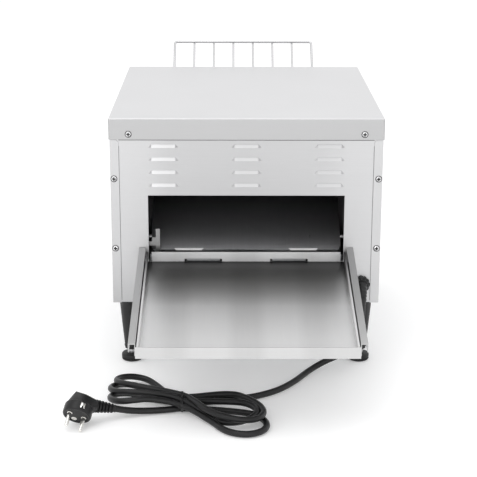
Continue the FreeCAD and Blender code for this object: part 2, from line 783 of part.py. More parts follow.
def control_fascia():
    y0, y1 = PANEL_FRONT, PANEL_FRONT + SHEET
    plate = box(-FASCIA_HALF, FASCIA_HALF, y0, y1, *FASCIA_Z)
    upright = [e for e in plate.Edges if abs(e.Vertexes[0].Y - e.Vertexes[1].Y) > 1]
    plate = plate.makeFillet(4.0, upright)
    cuts = [rod(V(x, y0 - 1, CONTROL_Z), V(0, 1, 0), SPINDLE_R + 0.6, 10) for x in (SPEED_X, HEAT_X)]
    cuts += [rod(V(x, y0 - 1, CONTROL_Z), V(0, 1, 0), 4.0, 10) for x in LAMP_X]
    cuts.append(box(SWITCH_X - 11.6, SWITCH_X + 11.6, y0 - 1, y1 + 1, CONTROL_Z - 14, CONTROL_Z + 14))
    return plate.cut(group(cuts))


def knob(x):
    y0 = PANEL_FRONT + SHEET + APART
    skirt = rod(V(x, y0, CONTROL_Z), V(0, 1, 0), KNOB_R, 4)
    body = Part.makeCone(KNOB_R - 2, KNOB_R - 4, KNOB_L - 4, V(x, y0 + 4, CONTROL_Z), V(0, 1, 0))
    grip = box(x - 2.5, x + 2.5, y0 + 4, y0 + KNOB_L + 3, CONTROL_Z - KNOB_R + 3, CONTROL_Z + KNOB_R - 3)
    spindle = rod(V(x, BAY_FRONT - 6, CONTROL_Z), V(0, 1, 0), SPINDLE_R, y0 + 2 - BAY_FRONT + 6)
    return join([skirt, body, grip, spindle])


def speed_control():
    """Rotary control behind the front panel, with a collar round its spindle."""
    body = rod(V(SPEED_X, BAY_FRONT - 16, CONTROL_Z), V(0, 1, 0), 12.0, 16)
    bore = rod(V(SPEED_X, BAY_FRONT - 7, CONTROL_Z), V(0, 1, 0), SPINDLE_R + RUNNING, 8)
    tags = []
    for k in (-1, 0, 1):
        x = SPEED_X + k * 6
        tags.append(box(x - 1.2, x + 1.2, BAY_FRONT - 12, BAY_FRONT - 11, CONTROL_Z - 18, CONTROL_Z - 9))
    return join([body] + tags).cut(bore)


def heat_switch():
    y1 = BAY_FRONT
    body = box(HEAT_X - 18, HEAT_X + 18, y1 - 34, y1, CONTROL_Z - 15, CONTROL_Z + 15)
    bore = rod(V(HEAT_X, y1 - 7, CONTROL_Z), V(0, 1, 0), SPINDLE_R + RUNNING, 8)
    return body.cut(bore)


def switch_housing():
    y0, y1 = BAY_FRONT - 16, PANEL_FRONT + SHEET
    shell = box(SWITCH_X - 11.4, SWITCH_X + 11.4, y0, y1, CONTROL_Z - 13.8, CONTROL_Z + 13.8)
    bezel = box(SWITCH_X - 14, SWITCH_X + 14, y1, y1 + 2.2, CONTROL_Z - 16.5, CONTROL_Z + 16.5)
    well = box(SWITCH_X - 9.6, SWITCH_X + 9.6, y0 + 2, y1 + 3, CONTROL_Z - 12.2, CONTROL_Z + 12.2)
    return join([shell, bezel]).cut(well)


def rocker():
    """A drum sector with two flats meeting in a shallow valley."""
    axis_y = PANEL_FRONT - 4.0
    drum = rod(V(SWITCH_X - 9.2, axis_y, CONTROL_Z), V(1, 0, 0), 11.8, 18.4)
    x0, x1 = SWITCH_X - 12, SWITCH_X + 12
    drum = drum.cut(box(x0, x1, axis_y - 20, axis_y - 3, CONTROL_Z - 20, CONTROL_Z + 20))
    outline = [
        (axis_y + 6.0, CONTROL_Z),
        (axis_y + 13.0, CONTROL_Z + 16),
        (axis_y + 20.0, CONTROL_Z + 16),
        (axis_y + 20.0, CONTROL_Z - 16),
        (axis_y + 13.0, CONTROL_Z - 16),
    ]
    valley = prism_x(outline, x0, x1)
    drum = drum.cut(valley)
    drum.rotate(V(SWITCH_X, axis_y, CONTROL_Z), V(1, 0, 0), -8)
    return drum


def indicator_lamps():
    lamps = []
    for x in LAMP_X:
        stem = rod(V(x, BAY_FRONT - 12, CONTROL_Z), V(0, 1, 0), 4.0, 12 + 3 * SHEET)
        collar = rod(V(x, PANEL_FRONT + SHEET, CONTROL_Z), V(0, 1, 0), 6.0, 1.6)
        dome = Part.makeSphere(5.0, V(x, PANEL_FRONT + SHEET + 0.6, CONTROL_Z))
        dome = dome.common(box(x - 9, x + 9, PANEL_FRONT + SHEET, PANEL_FRONT + 20, 0, 200))
        lamps.append(join([stem, collar, dome]))
    return group(lamps)


def leg_places():
    return {
        "rear_left": (-LEG_X, Y_REAR + LEG_INSET),
        "rear_right": (LEG_X, Y_REAR + LEG_INSET),
        "front_left": (-LEG_X, Y_FRONT - LEG_INSET),
        "front_right": (LEG_X, Y_FRONT - LEG_INSET),
    }


def legs():
    pieces = []
    for x, y in leg_places().values():
        cone = Part.makeCone(LEG_NECK_R, LEG_TOP_R, BODY_Z - LEG_NECK_Z, V(x, y, LEG_NECK_Z), V(0, 0, 1))
        bore = rod(V(x, y, LEG_NECK_Z - 1), V(0, 0, 1), STUD_R + RUNNING, STUD_TOP + 2 - LEG_NECK_Z)
        pieces.append(cone.cut(bore))
    return group(pieces)


def foot_pad(x, y):
    disc = rod(V(x, y, 0), V(0, 0, 1), PAD_R, PAD_H)
    disc = disc.makeFillet(2.5, [e for e in disc.Edges if len(e.Vertexes) == 1])
    nut = rod(V(x, y, PAD_H), V(0, 0, 1), 7.0, LEG_NECK_Z - APART - PAD_H)
    stud = rod(V(x, y, PAD_H), V(0, 0, 1), STUD_R, STUD_TOP - PAD_H)
    return join([disc, nut, stud])


def case_screws():
    """Pan-head screws of the lid and the side covers, front and rear."""
    places = [(158.5, LID_H - 21.3, 0.0), (179.0, LID_H - 83.0, SHEET), (179.0, LID_H - 181.0, SHEET)]
    screws = []
    for x, z, inset in places:
        rim = rod(V(0, 0, 0), V(0, -1, 0), 3.8, 0.7)
        crown = Part.makeCone(3.8, 2.9, 0.9, V(0, -0.7, 0), V(0, -1, 0))
        recess = join([box(-2.2, 2.2, -3, -0.7, -0.5, 0.5), box(-0.5, 0.5, -3, -0.7, -2.2, 2.2)])
        head = join([rim, crown])
        for side in (-1, 1):
            rear = head.cut(recess)
            rear.translate(V(side * x, Y_REAR + inset, z))
            front = head.cut(recess)
            front.rotate(V(0, 0, 0), V(0, 0, 1), 180)
            front.translate(V(side * x, Y_FRONT - inset, z))
            screws += [rear, front]
    return group(screws)


def cable_gland():
    """Moulded nut on the panel with an elbow boot that turns the cord downwards."""
    face = V(GLAND.x, PANEL_REAR, GLAND.z)
    nut = rod(face, V(0, -1, 0), 12.6, 6)
    ring = rod(face + V(0, -6, 0), V(0, -1, 0), 10.6, 4)
    inner = rod(V(GLAND.x, BAY_REAR, GLAND.z), V(0, 1, 0), 13.0, 6)
    shank = rod(face, V(0, 1, 0), 8.0, SHEET)
    return join([nut, ring, inner, shank])


def strain_relief():
    start = V(GLAND.x, PANEL_REAR - 10, GLAND.z)
    end = LEAD[0]
    radius = start.y - end.y
    corner = V(GLAND.x, end.y, GLAND.z)
    centre = V(GLAND.x, start.y, GLAND.z - radius)
    middle = centre + (corner - centre).normalize() * radius
    low = V(GLAND.x, end.y, GLAND.z - radius)
    arc = Part.Arc(start, middle, low).toShape()
    path = Part.Wire([arc])
    first = Part.Wire([Part.makeCircle(8.0, start, V(0, -1, 0))])
    last = Part.Wire([Part.makeCircle(5.6, low, V(0, 0, -1))])
    return path.makePipeShell([first, last], True, True)


def lead_solid(points, label):
    edges = round_path(points)
    path = Part.Wire(edges)
    profile = Part.Wire([Part.makeCircle(CORD_R, points[0], points[1] - points[0])])
    solid = path.makePipeShell([profile], True, True)
    radii = [round(e.Curve.Radius, 1) for e in edges if hasattr(e.Curve, "Radius")]
    share = solid.Volume / (math.pi * CORD_R**2 * path.Length)
    print(label, "arc radii", radii, "length", round(path.Length, 1), "volume share", round(share, 4))
    return solid


def hank():
    points = [V(x, Y_REAR + y, 0.1) for x, y in HANK_OUTLINE]
    curve = Part.BSplineCurve()
    curve.interpolate(Points=points, PeriodicFlag=True)
    solid = Part.Face(Part.Wire([curve.toShape()])).extrude(V(0, 0, HANK_H))
    top = [e for e in solid.Edges if e.BoundBox.ZMin > HANK_H - 1]
    return solid.makeFillet(4.0, top)


def plug_axes():
    """Where the pins point, where the cord leaves, and the line between the pins."""
    pins_out = V(PLUG_NORMAL).normalize()
    cable = V(PLUG_CABLE).normalize()
    across = (cable - pins_out * cable.dot(pins_out)).normalize()
    return pins_out, cable, across


def plug_neck():
    return PLUG_FACE - plug_axes()[0] * PLUG_NECK_BACK


def plug_lead_points():
    return [plug_neck() + plug_axes()[1] * PLUG_REACH] + list(PLUG_LEAD_BENDS)


def plug_body():
    """Angled plug: a round face, a hooded back and a neck for the cord."""
    pins_out, cable = plug_axes()[:2]
    rear = PLUG_FACE - pins_out * PLUG_DEPTH
    neck_length = 24.0
    face = rod(rear, pins_out, PLUG_R, PLUG_DEPTH)
    back = Part.makeCone(PLUG_R, 11.0, 16, rear, pins_out * -1)
    neck = Part.makeCone(13.0, 9.0, neck_length, plug_neck(), cable)
    relief = Part.makeCone(7.5, 5.4, PLUG_REACH - neck_length, plug_neck() + cable * neck_length, cable)
    return join([face, back, neck, relief])


def plug_pins():
    pins_out, _, across = plug_axes()
    pins = []
    for side in (-1, 1):
        base = PLUG_FACE + across * (PIN_HALF_PITCH * side)
        tip = Part.makeSphere(PIN_R, base + pins_out * PIN_L)
        pins.append(join([rod(base, pins_out, PIN_R, PIN_L), tip]))
    return group(pins)


def hank_tie():
    x, y = TIE[0], Y_REAR + TIE[1]
    inside = TIE_HALF - 2
    outer = box(x - 2, x + 2, y - TIE_HALF, y + TIE_HALF, 0.1, HANK_H + 2.6)
    inner = box(x - 3, x + 3, y - inside, y + inside, 0.1, HANK_H + 0.1)
    return outer.cut(inner)


def main():
    os.makedirs("parts", exist_ok=True)
    save("top_cover", top_cover())
    right = side_cover()
    save("side_cover_right", right)
    save("side_cover_left", mirror_x(right))
    save("rear_panel", rear_panel())
    save("front_panel", front_panel())
    save("base_pan", base_pan())
    wall = inner_wall()
    save("inner_wall_left", mirror_x(wall))
    bore = rod(V(WALL_X - 1, MOTOR_Y, MOTOR_Z), V(1, 0, 0), 5.0, 4)
    save("inner_wall_right", wall.cut(bore))
    save("chamber_floor", chamber_floor())
    save("upper_reflector", upper_reflector())
    save("lower_reflector", lower_reflector())
    save("upper_quartz_tubes", quartz_tubes(UPPER_TUBE_Z))
    save("lower_quartz_tubes", quartz_tubes(LOWER_TUBE_Z))
    save("tube_holders", tube_holders())
    save("sill_rail", sill_rail())
    save("deflector_slide", deflector_slide())
    save("slide_tabs", slide_tabs())
    save("deflector_rods", deflector_rods())
    save("slide_latch", slide_latch())
    save("conveyor_belt", conveyor_belt())
    save("drive_shaft", drive_shaft())
    save("drive_belt_sprockets", belt_sprockets(DRIVE_Y))
    save("idler_shaft", idler_shaft())
    save("idler_belt_sprockets", belt_sprockets(IDLER_Y))
    save("shaft_bushes", shaft_bushes())
    save("chain_sprocket", chain_sprocket())
    save("drive_chain", drive_chain())
    save("motor_output", motor_output())
    save("gear_motor", gear_motor())
    save("fan_frame", fan_frame())
    save("fan_rotor", fan_rotor())
    save("control_board", control_board())
    save("terminal_block", terminal_block())
    save("exit_tray", exit_tray())
    save("tray_side_rails", tray_rails())
    save("crumb_tray", crumb_tray())
    save("wire_rack", wire_rack())
    save("control_fascia", control_fascia())
    save("speed_knob", knob(SPEED_X))
    save("heat_knob", knob(HEAT_X))
    save("speed_control", speed_control())
    save("heat_switch", heat_switch())
    save("switch_housing", switch_housing())
    save("power_rocker", rocker())
    save("indicator_lamps", indicator_lamps())
    save("legs", legs())
    for name, (x, y) in leg_places().items():
        save(f"foot_pad_{name}", foot_pad(x, y))
    save("case_screws", case_screws())
    save("cable_gland", cable_gland())
    save("strain_relief", strain_relief())
    save("mains_lead", lead_solid(LEAD, "mains lead"))
    save("cord_hank", hank())
    save("plug_lead", lead_solid(plug_lead_points(), "plug lead"))
    save("hank_tie", hank_tie())
    save("plug_body", plug_body())
    save("plug_pins", plug_pins())


main()
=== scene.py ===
import math

import bmesh  # noqa: E402
import bpy  # noqa: E402
from mathutils import Matrix, Vector  # noqa: E402


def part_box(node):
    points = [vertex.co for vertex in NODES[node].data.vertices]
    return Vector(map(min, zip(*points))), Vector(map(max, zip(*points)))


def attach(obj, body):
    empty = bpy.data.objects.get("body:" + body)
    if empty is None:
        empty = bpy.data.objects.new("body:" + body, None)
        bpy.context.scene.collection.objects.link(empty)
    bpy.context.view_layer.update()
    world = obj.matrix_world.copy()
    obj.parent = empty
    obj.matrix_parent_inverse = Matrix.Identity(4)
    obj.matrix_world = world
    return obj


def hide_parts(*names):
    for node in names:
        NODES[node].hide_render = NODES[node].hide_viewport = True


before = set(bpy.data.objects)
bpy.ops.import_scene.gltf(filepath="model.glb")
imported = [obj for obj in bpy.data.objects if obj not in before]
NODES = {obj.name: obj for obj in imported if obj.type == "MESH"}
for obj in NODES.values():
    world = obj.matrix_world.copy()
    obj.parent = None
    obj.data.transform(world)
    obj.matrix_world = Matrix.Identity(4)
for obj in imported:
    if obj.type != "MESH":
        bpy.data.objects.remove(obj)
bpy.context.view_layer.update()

# Looks of the counter-top conveyor oven. Metres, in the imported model's frame.
MM = 0.001
Y_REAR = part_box("top_cover")[0].y
Y_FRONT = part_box("top_cover")[1].y
TAU = 2 * math.pi
LID_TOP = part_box("top_cover")[1].z
HOOD_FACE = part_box("rear_panel")[0].y
TRAY_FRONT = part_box("exit_tray")[0].y
SLIDE_FOOT, SLIDE_HEAD = (corner.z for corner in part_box("deflector_slide"))
FASCIA_FACE = Y_FRONT - 1.2 * MM
KNOB_GAP = 0.3 * MM
HOOD_DEPTH = 3.0 * MM
LID_FLANGE = 28.8 * MM
CORNER_FLANGE_X = 172.0 * MM
LEG_TOP_R = 17 * MM

# The first and last mark of each knob's dial, in degrees from the top.
SPEED_SWEEP = (-135, 135)
HEAT_SWEEP = (-90, 90)

# Camera
LENS = 104.52
SENSOR = 36.0
CAMERA_AT = Vector((-0.0233179, -1.9568447, 0.7276207))
PITCH = 0.2891363863
YAW = 0.0070533581
ROLL = 0.0028315199

# Mains cord. The lead's points are x, distance from the rear face, height, in millimetres.
CORD_R = 4.25 * MM
LEAD = (
    (159.0, -26.0, 102.6),
    (159.5, -26.0, 82.0),
    (156.0, -14.0, 49.0),
    (137.0, -12.0, 24.0),
    (110.0, -13.5, 13.0),
    (86.0, -29.0, 4.4),
    (67.0, -65.0, 4.4),
    (43.0, -97.0, 4.4),
    (13.0, -118.0, 4.4),
    (-16.0, -128.0, 5.0),
)
# Each turn: where it passes the tie going left (y, z), its fold (x, y, far height, near height), where it
# passes the tie coming back, and its loop (x, y, length, width, heading, heights near, at the tip and far).
TIE_X = -84.0
TIE_Y = -151.0
FOLD_R = 27.4
FOLD_STEPS = 6
FOLD_ENTRY = 20.0
LOOP_STEPS = 8
TURNS = (
    (
        (-147.0, 4.6),
        (-147.5, -89.0, 4.6, 20.4),
        (-147.0, 19.6),
        (-78.5, -107.3, 139.2, 42.4, -49.3, 20.0, 13.6, 12.9),
    ),
    (
        (-142.7, 12.1),
        (-153.5, -113.5, 4.6, 20.4),
        (-155.7, 19.6),
        (-50.0, -157.6, 72.7, 32.3, -38.0, 5.0, 12.4, 12.9),
    ),
    (
        (-151.4, 12.1),
        (-152.0, -141.0, 4.6, 20.4),
        (-160.0, 12.1),
        (-41.6, -159.5, 92.4, 35.6, -52.7, 4.6, 4.6, 4.6),
    ),
)
TIE_EXIT = (-155.7, 4.6)
PLUG_LEAD = ((-97.0, -162.0, 5.0), (-122.0, -166.5, 5.0), (-148.0, -174.0, 8.0))
PLUG_FACE = Vector((-215.0, -210.0, 16.8))
PLUG_NORMAL = Vector((-0.18, -0.80, -0.57)).normalized()
PLUG_CABLE = Vector((0.90, 0.33, -0.28)).normalized()
PLUG_REACH = 46.0
PLUG_NECK_BACK = 18.0


def place(x, y, z):
    """A point given in millimetres, with y counted from the rear face."""
    return Vector((x * MM, Y_REAR + y * MM, z * MM))


# ---------------------------------------------------------------- camera


def make_camera():
    ahead = Vector((math.sin(YAW) * math.cos(PITCH), math.cos(YAW) * math.cos(PITCH), -math.sin(PITCH)))
    right = Vector((math.cos(YAW), -math.sin(YAW), 0))
    up = right.cross(ahead)
    rolled = right * math.cos(ROLL) + up * math.sin(ROLL)
    top = up * math.cos(ROLL) - right * math.sin(ROLL)
    data = bpy.data.cameras.new("camera")
    data.lens = LENS
    data.sensor_width = SENSOR
    data.clip_end = 50
    camera = bpy.data.objects.new("camera", data)
    bpy.context.scene.collection.objects.link(camera)
    camera.matrix_world = Matrix.Translation(CAMERA_AT) @ Matrix((rolled, top, -ahead)).transposed().to_4x4()
    bpy.context.scene.camera = camera


make_camera()

# ---------------------------------------------------------------- materials


def new_material(name):
    material = bpy.data.materials.new(name)
    material.use_nodes = True
    tree = material.node_tree
    shader = tree.nodes["Principled BSDF"]
    coords = tree.nodes.new("ShaderNodeTexCoord")
    return material, tree, shader, coords.outputs["Object"]


def noise(tree, coords, scale, stretch=(1, 1, 1), detail=3.0, rough=0.5):
    mapping = tree.nodes.new("ShaderNodeMapping")
    mapping.inputs["Scale"].default_value = stretch
    tree.links.new(coords, mapping.inputs["Vector"])
    texture = tree.nodes.new("ShaderNodeTexNoise")
    texture.inputs["Scale"].default_value = scale
    texture.inputs["Detail"].default_value = detail
    texture.inputs["Roughness"].default_value = rough
    tree.links.new(mapping.outputs["Vector"], texture.inputs["Vector"])
    return texture.outputs["Fac"]


def ramp(tree, value, stops):
    node = tree.nodes.new("ShaderNodeValToRGB")
    elements = node.color_ramp.elements
    while len(elements) < len(stops):
        elements.new(0.5)
    for element, (at, colour) in zip(elements, stops):
        element.position = at
        element.color = (*colour, 1)
    tree.links.new(value, node.inputs["Fac"])
    return node.outputs["Color"]


def spread(tree, value, low, high):
    """The value's 0.3 to 0.7 moved to low to high."""
    node = tree.nodes.new("ShaderNodeMapRange")
    node.inputs["From Min"].default_value = 0.3
    node.inputs["From Max"].default_value = 0.7
    node.inputs["To Min"].default_value = low
    node.inputs["To Max"].default_value = high
    tree.links.new(value, node.inputs["Value"])
    return node.outputs["Result"]


def mixed(tree, a, b, share):
    node = tree.nodes.new("ShaderNodeMix")
    node.data_type = "FLOAT"
    node.inputs["Factor"].default_value = share
    tree.links.new(a, node.inputs["A"])
    tree.links.new(b, node.inputs["B"])
    return node.outputs["Result"]


def bump(tree, shader, height, distance):
    node = tree.nodes.new("ShaderNodeBump")
    node.inputs["Distance"].default_value = distance
    node.inputs["Strength"].default_value = 1.0
    tree.links.new(height, node.inputs["Height"])
    tree.links.new(node.outputs["Normal"], shader.inputs["Normal"])


def tones(colour, contrast):
    return tuple(c * (1 - contrast) for c in colour), tuple(min(1.0, c * (1 + contrast)) for c in colour)


def painted_light_by_axis(tree, coords, colour, axis, stops):
    """Scales a colour along one axis of the frame, painting reflections and shade by place. The stops are
    (place, factor), with factors up to two.
    """
    first, last = stops[0][0], stops[-1][0]
    split = tree.nodes.new("ShaderNodeSeparateXYZ")
    tree.links.new(coords, split.inputs["Vector"])
    along = tree.nodes.new("ShaderNodeMapRange")
    along.inputs["From Min"].default_value = first
    along.inputs["From Max"].default_value = last
    tree.links.new(split.outputs[axis], along.inputs["Value"])
    halves = [((at - first) / (last - first), (factor / 2,) * 3) for at, factor in stops]
    double = tree.nodes.new("ShaderNodeMath")
    double.operation = "MULTIPLY"
    double.inputs[1].default_value = 2.0
    tree.links.new(ramp(tree, along.outputs["Result"], halves), double.inputs[0])
    scale = tree.nodes.new("ShaderNodeVectorMath")
    scale.operation = "SCALE"
    tree.links.new(colour, scale.inputs[0])
    tree.links.new(double.outputs["Value"], scale.inputs["Scale"])
    return scale.outputs["Vector"]


def steel(name, colour, rough, grain=(1, 60, 60), contrast=0.06, bump_depth=0.00002, painted_light=(), uneven=0.16):
    """Brushed sheet: fine lines along one axis, soft smudges, an uneven gloss, and any painted reflections
    and shade given as stops along axes.
    """
    material, tree, shader, coords = new_material(name)
    shader.inputs["Metallic"].default_value = 1.0
    lines = noise(tree, coords, 22, grain, 4, 0.6)
    smudge = noise(tree, coords, 9, (1, 1, 1), 3)
    both = mixed(tree, lines, smudge, 0.35)
    dark, light = tones(colour, contrast)
    tone = ramp(tree, both, [(0.32, dark), (0.68, light)])
    for axis, stops in painted_light:
        tone = painted_light_by_axis(tree, coords, tone, axis, stops)
    tree.links.new(tone, shader.inputs["Base Color"])
    tree.links.new(spread(tree, both, rough * (1 - uneven), rough * (1 + uneven)), shader.inputs["Roughness"])
    bump(tree, shader, lines, bump_depth)
    return material


def moulded(name, colour, rough, grain=900, contrast=0.25, depth=0.00006, gloss=0.5):
    """Moulded rubber or plastic with a fine texture and slight wear."""
    material, tree, shader, coords = new_material(name)
    shader.inputs["Specular IOR Level"].default_value = gloss
    fine = noise(tree, coords, grain, detail=3)
    broad = noise(tree, coords, 28, detail=4)
    both = mixed(tree, fine, broad, 0.6)
    dark, light = tones(colour, contrast)
    tree.links.new(ramp(tree, both, [(0.3, dark), (0.7, light)]), shader.inputs["Base Color"])
    tree.links.new(spread(tree, both, rough * 0.8, rough * 1.2), shader.inputs["Roughness"])
    bump(tree, shader, fine, depth)
    return material


def glass(name, colour, rough):
    """Quartz tube, cloudy with fine drawn lines."""
    material, tree, shader, coords = new_material(name)
    lines = noise(tree, coords, 30, (1, 40, 40), 3)
    dark, light = tones(colour, 0.08)
    tree.links.new(ramp(tree, lines, [(0.3, dark), (0.7, light)]), shader.inputs["Base Color"])
    tree.links.new(spread(tree, lines, rough * 0.7, rough * 1.3), shader.inputs["Roughness"])
    shader.inputs["Transmission Weight"].default_value = 0.55
    shader.inputs["IOR"].default_value = 1.46
    bump(tree, shader, lines, 0.00002)
    return material


def lamp_glass(name, colour):
    material, tree, shader, coords = new_material(name)
    facets = noise(tree, coords, 700, detail=1)
    dark, light = tones(colour, 0.3)
    tree.links.new(ramp(tree, facets, [(0.35, dark), (0.65, light)]), shader.inputs["Base Color"])
    shader.inputs["Roughness"].default_value = 0.18
    shader.inputs["Transmission Weight"].default_value = 0.35
    bump(tree, shader, facets, 0.0002)
    return material


# The stops below paint reflections and shade into a sheet's tone by its place.
CASE = steel("case_steel", (0.50, 0.50, 0.505), 0.40, (1, 55, 55), 0.03)
# Painted highlight: the louvre hoods, which stand out of the rear panel, are painted 1.2 times lighter than
# the panel.
HOOD_HIGHLIGHT_STOPS = ((HOOD_FACE + 2.1 * MM, 1.2), (HOOD_FACE + 2.8 * MM, 1.0))
# Painted reflection: the rear panel is painted lighter towards both ends than in the middle.
WIDTH_REFLECTION_STOPS = (
    (-172 * MM, 1.10),
    (-136 * MM, 1.07),
    (-104 * MM, 0.97),
    (0, 0.96),
    (100 * MM, 0.99),
    (136 * MM, 1.06),
    (172 * MM, 1.09),
)
PANEL_PAINTED_LIGHT = (("Y", HOOD_HIGHLIGHT_STOPS), ("X", WIDTH_REFLECTION_STOPS))
PANEL = steel("panel_steel", (0.50, 0.50, 0.505), 0.40, (1, 55, 55), 0.03, painted_light=PANEL_PAINTED_LIGHT)
# Painted light and shade on the lid: its base tone is set lighter than the case and side steel, as a lit top,
# and its flanges below the top bend are scaled down to 0.6 of it.
LID_SHADE_STOPS = ((LID_TOP - 1.1 * MM, 0.60), (LID_TOP - 0.1 * MM, 1.0))
LID = steel("lid_steel", (0.735, 0.735, 0.74), 0.38, (1, 55, 55), 0.025, painted_light=(("Z", LID_SHADE_STOPS),))
SIDE = steel("side_steel", (0.54, 0.54, 0.545), 0.40, (55, 1, 55), 0.03)
# Painted reflections and shade along the tray: darker at its near lip, lighter in the middle, darkening to
# near black towards the casing, with a narrow bright strip close to the rear face.
TRAY_REFLECTION_STOPS = (
    (TRAY_FRONT + 1.25 * MM, 0.78),
    (TRAY_FRONT + 1.6 * MM, 0.98),
    (Y_REAR - 120 * MM, 1.14),
    (Y_REAR - 60 * MM, 0.72),
    (Y_REAR - 22 * MM, 0.17),
    (Y_REAR - 3.05 * MM, 0.03),
    (Y_REAR - 2.98 * MM, 1.36),
    (Y_REAR - 1.85 * MM, 1.36),
    (Y_REAR - 1.7 * MM, 0.10),
)
# Painted reflections: faint darker bands across the tray's width.
TRAY_BAND_REFLECTION_STOPS = (
    (-112 * MM, 1.0),
    (-98 * MM, 0.94),
    (-82 * MM, 0.94),
    (-68 * MM, 1.02),
    (-28 * MM, 1.02),
    (-14 * MM, 0.93),
    (12 * MM, 0.93),
    (26 * MM, 1.02),
    (62 * MM, 1.02),
    (76 * MM, 0.94),
    (92 * MM, 0.94),
    (108 * MM, 1.0),
)
TRAY_PAINTED_LIGHT = (("Y", TRAY_REFLECTION_STOPS), ("X", TRAY_BAND_REFLECTION_STOPS))
TRAY = steel("tray_steel", (0.72, 0.72, 0.72), 0.36, (12, 1, 1), 0.012, 0.0000002, TRAY_PAINTED_LIGHT, 0.02)
RAIL = steel("rail_steel", (0.48, 0.48, 0.48), 0.32, (55, 1, 55), 0.04)
LATCH = steel("latch_steel", (0.30, 0.30, 0.30), 0.36, (55, 1, 55), 0.08)
TAB = moulded("tab_steel", (0.85, 0.85, 0.85), 0.45, 300, 0.04, 0.00002)
# Painted shade: the slide darkens from its foot to near black at its head, inside the oven.
SLIDE_SHADE_STOPS = ((SLIDE_FOOT, 1.3), (SLIDE_HEAD, 0.03))
SLIDE = steel("slide_steel", (0.40, 0.40, 0.41), 0.32, (30, 1, 1), 0.04, 0.000006, (("Z", SLIDE_SHADE_STOPS),))
INNER = steel("inner_steel", (0.20, 0.198, 0.195), 0.40, (55, 1, 55), 0.15)
REFLECTOR = steel("reflector_steel", (0.55, 0.52, 0.48), 0.30, (1, 50, 50), 0.18)
GALVANISED = steel("galvanised_steel", (0.50, 0.51, 0.52), 0.45, (1, 1, 1), 0.16)
CHROME = steel("chrome_wire", (0.55, 0.55, 0.56), 0.22, (1, 1, 1), 0.05)
BELT = steel("belt_wire", (0.42, 0.41, 0.40), 0.30, (1, 1, 1), 0.12)
MACHINED = steel("machined_steel", (0.52, 0.52, 0.53), 0.28, (60, 1, 1), 0.08)
CHAIN = steel("chain_steel", (0.30, 0.29, 0.28), 0.35, (1, 1, 1), 0.2)
# Near-black steel as painted shade: the dark ring round each screw head and the foot of each cross recess.
SHADE_BLACK_STEEL = steel("shade_black_steel", (0.05, 0.05, 0.05), 0.5, (1, 1, 1), 0.2)
SCREW = steel("screw_steel", (0.74, 0.74, 0.75), 0.24, (1, 1, 1), 0.08)
PIN = steel("pin_nickel", (0.78, 0.77, 0.74), 0.2, (1, 1, 40), 0.05)
BRASS = steel("brass", (0.62, 0.47, 0.20), 0.32, (60, 1, 1), 0.1)
CERAMIC = moulded("ceramic", (0.78, 0.75, 0.68), 0.6, 500, 0.06)
QUARTZ = glass("quartz", (0.86, 0.86, 0.84), 0.22)
BLACK = moulded("black_plastic", (0.010, 0.010, 0.0105), 0.40, 1200, gloss=0.4)
RUBBER = moulded("leg_rubber", (0.012, 0.012, 0.0125), 0.5, 1500, 0.35, gloss=0.35)
CORD = moulded("cord_rubber", (0.009, 0.009, 0.0095), 0.38, 1800, 0.3, 0.00004, gloss=0.35)
PLUG = moulded("plug_plastic", (0.008, 0.008, 0.0085), 0.36, 1500, 0.3, 0.00005, gloss=0.35)
WHITE = moulded("white_plastic", (0.75, 0.75, 0.73), 0.45, 800, 0.05)
BOARD = moulded("board_green", (0.03, 0.14, 0.06), 0.4, 300, 0.35)
MOTOR = moulded("motor_paint", (0.05, 0.05, 0.055), 0.35, 500, 0.2, 0.00004)
FASCIA = moulded("fascia_black", (0.03, 0.03, 0.032), 0.33, 700, 0.15)
GREEN = moulded("rocker_green", (0.04, 0.35, 0.07), 0.3, 600, 0.15)
AMBER = lamp_glass("lamp_amber", (0.85, 0.35, 0.03))
PRINT = moulded("print_white", (0.80, 0.80, 0.80), 0.5, 900, 0.05)

CORNERS = ("rear_left", "rear_right", "front_left", "front_right")
FINISH = {
    LID: ["top_cover"],
    PANEL: ["rear_panel"],
    CASE: ["front_panel", "crumb_tray"],
    SIDE: ["side_cover_left", "side_cover_right"],
    GALVANISED: ["base_pan", "chamber_floor", "sill_rail"],
    INNER: ["inner_wall_left", "inner_wall_right"],
    REFLECTOR: ["upper_reflector", "lower_reflector"],
    QUARTZ: ["upper_quartz_tubes", "lower_quartz_tubes"],
    CERAMIC: ["tube_holders"],
    SLIDE: ["deflector_slide"],
    MACHINED: ["deflector_rods", "drive_shaft", "idler_shaft", "motor_output"],
    RAIL: ["tray_side_rails"],
    LATCH: ["slide_latch"],
    TAB: ["slide_tabs"],
    BELT: ["conveyor_belt", "drive_belt_sprockets", "idler_belt_sprockets"],
    BRASS: ["shaft_bushes"],
    CHAIN: ["drive_chain", "chain_sprocket"],
    MOTOR: ["gear_motor"],
    BLACK: ["fan_frame", "fan_rotor", "switch_housing", "speed_control", "heat_switch"],
    BOARD: ["control_board"],
    WHITE: ["terminal_block"],
    TRAY: ["exit_tray"],
    CHROME: ["wire_rack"],
    FASCIA: ["control_fascia", "speed_knob", "heat_knob"],
    GREEN: ["power_rocker"],
    AMBER: ["indicator_lamps"],
    RUBBER: ["legs", *(f"foot_pad_{corner}" for corner in CORNERS)],
    SCREW: ["case_screws"],
}


def finish_nodes():
    for material, names in FINISH.items():
        for name in names:
            data = NODES[name].data
            data.materials.clear()
            data.materials.append(material)


finish_nodes()

# ---------------------------------------------------------------- mesh helpers


